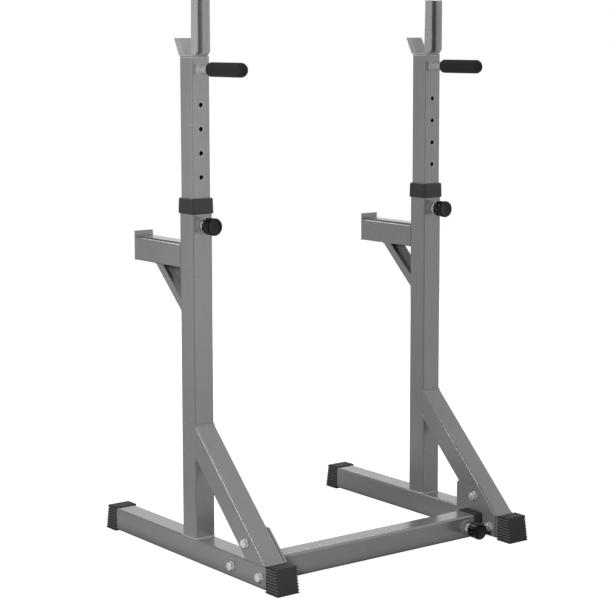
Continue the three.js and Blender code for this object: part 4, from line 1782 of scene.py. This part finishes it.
SECTORS = (
    Sector(323, 0.38, 0.26, 70, 30),
    Sector(143, 0.72, 0.86, 70, 30),
    Sector(225, 0.02, 0.02, 62, 34),
)
LAMPS = (
    Lamp("top_lamp", (0.0, 0.0, 3.8), (0, 0, 0.4), (3.0, 3.0), 22),
    Lamp("rear_lamp", (-0.3, 1.95, 2.05), (0, 0.1, 0.68), (0.9, 0.22), 5),
    Lamp("side_lamp", (-2.3, -0.06, 1.36), (0, -0.15, 0.3), (0.6, 0.3), 8),
    Lamp("right_lamp", (3.6, -0.3, 2.0), (0, 0, 0.6), (1.4, 1.8), 10),
    Lamp("back_lamp", (2.3, 2.7, 1.5), (0, 0, 0.55), (1.0, 1.0), 75, mirrored=False),
    Lamp("key_lamp", (-2.11, -1.53, 1.18), (0, 0, 0.55), (0.5, 0.5), 79, mirrored=False),
)


@dataclass
class Studio:
    """A plain pale studio: white floor and backdrop, soft lamps and a darker room on one side.

    The floor's brightness in mirrors changes with the distance from its middle and from the stands, as painted shade:
    the ranges say where.
    """

    floor_size: float = 60.0
    floor_colour: Colour = (0.82, 0.82, 0.82)
    dim_colour: Colour = (0.5, 0.5, 0.5)
    paper_share: float = 0.66
    paper_glow: float = 1.45
    wall_share: float = 0.88
    near_share: float = 0.80
    near_range: tuple[float, float] = (1.2, 2.4)
    # Painted shade on the floor as mirrors see it: darker under the stands, close to them and at their feet.
    middle_share: float = 0.24
    middle_place: float = 0.15
    middle_range: tuple[float, float] = (0.15, 0.4)
    close_level: float = 0.56
    close_range: tuple[float, float] = (0.45, 1.0)
    contact_shadow_share: float = 0.15
    contact_shadow_range: tuple[float, float] = (0.0, 0.05)
    ceiling_dimming: float = 0.3
    ceiling_range: tuple[float, float] = (0.35, 0.8)
    soft_share: float = 0.24

    def build(self) -> None:
        """Makes the floor, the world and the lamps."""
        form = Shape()
        bmesh.ops.create_grid(form.bm, x_segments=1, y_segments=1, size=self.floor_size / 2)
        mesh = bpy.data.meshes.new("floor")
        form.bm.to_mesh(mesh)
        form.bm.free()
        floor = bpy.data.objects.new("floor", mesh)
        bpy.context.scene.collection.objects.link(floor)
        mesh.materials.append(self.floor_material())
        self.world()
        for lamp in LAMPS:
            lamp.build()

    def room(self, graph: Graph, x: Signal, y: Signal, wall: bool) -> Signal:
        """How bright the studio is in a level direction: its walls, dimmed in each of its sectors.

        Args:
            graph: The tree that the nodes go into.
            x: First part of the direction.
            y: Second part of the direction.
            wall: Whether it is the walls' brightness or the floor's.

        Returns:
            The brightness as mirrors see it.
        """
        length = graph.math("SQRT", x * x + y * y + 1e-6)
        level: Signal | float = self.wall_share
        for sector in SECTORS:
            heading, edge, full = (math.radians(angle) for angle in (sector.heading, sector.edge, sector.full))
            towards = graph.math("DIVIDE", x * math.sin(heading) + y * math.cos(heading), length)
            inside = graph.ease(towards, math.cos(edge), math.cos(full))
            level = level * (1 - inside) + (sector.wall if wall else sector.share) * inside
        return level

    def footprint(self, graph: Graph, x: Signal, y: Signal) -> Signal:
        """How far a place on the floor is from the feet and the cross bar, in metres.

        Args:
            graph: The tree that the nodes go into.
            x: The place's X.
            y: The place's Y.

        Returns:
            The distance.
        """
        foot, bar = Box.of("right_foot_tube"), Box.of("cross_bar_outer")
        feet = graph.math(
            "MAXIMUM", abs(abs(x) - foot.middle.x) - foot.size.x / 2, abs(y - foot.middle.y) - foot.size.y / 2)
        between = graph.math("MAXIMUM", abs(x) - foot.low.x, abs(y - bar.middle.y) - bar.size.y / 2)
        return graph.math("MINIMUM", feet, between)

    def seen(self, graph: Graph) -> tuple[Signal, Signal]:
        """Whether a ray comes from the camera, and whether it is a mirror or glass ray.

        Args:
            graph: The tree that the nodes go into.

        Returns:
            Both answers, as 0 or 1.
        """
        path = graph.node("ShaderNodeLightPath")
        mirror = graph.math("MAXIMUM", graph.out(path, "Is Glossy Ray"), graph.out(path, "Is Transmission Ray"))
        return graph.out(path, "Is Camera Ray"), mirror

    def floor_material(self) -> bpy.types.Material:
        """White to the camera with a faint shadow; to mirrors as bright as the studio there, with painted shade under,
        near and at the feet of the stands.

        Returns:
            The floor's material.
        """
        made = bpy.data.materials.new("studio_floor")
        made.use_nodes = True
        graph = Graph(made.node_tree)
        x, y, _ = graph.parts(graph.place())
        camera, mirror = self.seen(graph)
        reach = graph.math("SQRT", x * x + y * y)
        # The mirrors' glow is dimmed under and close to the stands and at their feet: painted shade and a painted
        # contact shadow on the floor.
        behind = y - self.middle_place
        near = graph.ease(reach, *self.near_range)
        middle = graph.ease(graph.math("SQRT", x * x + behind * behind), *self.middle_range)
        under = self.middle_share + (self.near_share - self.middle_share) * middle
        touch = graph.ease(self.footprint(graph, x, y), *self.contact_shadow_range)
        contact_shadow = self.contact_shadow_share + (1 - self.contact_shadow_share) * touch
        far = graph.ease(reach, *self.close_range)
        level = self.room(graph, x, y, False) * far + self.close_level * (1 - far)
        glow = level * (under + (1 - self.near_share) * near) * contact_shadow
        paper = graph.mix(
            self.paper_share, graph.node("ShaderNodeBsdfDiffuse", None, {"Color": (*self.floor_colour, 1)}),
            graph.node("ShaderNodeEmission", None, {"Strength": self.paper_glow}))
        # The floor's colour for bounced light is darker than to the camera and darkened at the feet: painted shade and
        # a painted contact shadow.
        shade = graph.blend(contact_shadow, (0.0, 0.0, 0.0), self.dim_colour)
        other = graph.mix(
            mirror, graph.node("ShaderNodeBsdfDiffuse", None, {"Color": shade}),
            graph.node("ShaderNodeEmission", None, {"Strength": glow}))
        graph.node("ShaderNodeOutputMaterial", None, {"Surface": graph.out(graph.mix(camera, other, paper))})
        return made

    def world(self) -> None:
        """White to the camera; to mirrors the studio's walls; otherwise soft light."""
        world = bpy.data.worlds.new("studio")
        bpy.context.scene.world = world
        world.use_nodes = True
        graph = Graph(world.node_tree)
        x, y, z = graph.parts(graph.out(graph.node("ShaderNodeTexCoord"), "Generated"))
        camera, mirror = self.seen(graph)
        ceiling = 1 - self.ceiling_dimming * graph.ease(z, *self.ceiling_range)
        mirrored = self.room(graph, x, y, True) * ceiling * mirror + self.soft_share * (1 - mirror)
        strength = camera + mirrored * (1 - camera)
        background = graph.node("ShaderNodeBackground", None, {"Color": (1, 1, 1, 1), "Strength": strength})
        graph.node("ShaderNodeOutputWorld", None, {"Surface": graph.out(background)})


@dataclass
class PhotoCamera:
    """The camera, at the photograph's place and angle; angles in degrees, focal length in pixels."""

    place: Vector = Vector((-2.3927, -3.1406, 1.1094))
    heading: float = 37.115
    pitch: float = 7.201
    roll: float = -0.095
    focal_pixels: float = 1798.5
    image_size: int = 616
    shift: float = -0.07
    sensor: float = 36.0
    far: float = 200

    def build(self) -> None:
        """Makes the camera and puts the scene on it."""
        data = bpy.data.cameras.new("photo_camera")
        data.sensor_width = self.sensor
        data.lens = self.focal_pixels * self.sensor / self.image_size
        data.shift_y = self.shift
        data.clip_end = self.far
        holder = bpy.data.objects.new("photo_camera", data)
        turn = Matrix.Rotation(-math.radians(self.heading), 4, "Z")
        tilt = Matrix.Rotation(math.radians(90 - self.pitch), 4, "X")
        roll = Matrix.Rotation(math.radians(self.roll), 4, "Z")
        holder.matrix_world = Matrix.Translation(self.place) @ turn @ tilt @ roll
        bpy.context.scene.collection.objects.link(holder)
        bpy.context.scene.camera = holder


def main() -> None:
    """Builds every sub-assembly in order, then the studio and the camera."""
    logging.basicConfig(level=logging.INFO, format="%(message)s")
    PhotoCamera().build()
    for side in Side:
        for part in (Foot, Upright, Brace, SpotterArm, Post, CrossPlate):
            part(side).build()
        SpringPin(side.named("height"), side.named("stand")).build()
    CrossBar().build()
    SpringPin("width", "left_stand").build()
    Studio().build()
    bpy.context.scene.view_settings.view_transform = "Standard"


if __name__ == "__main__":
    main()
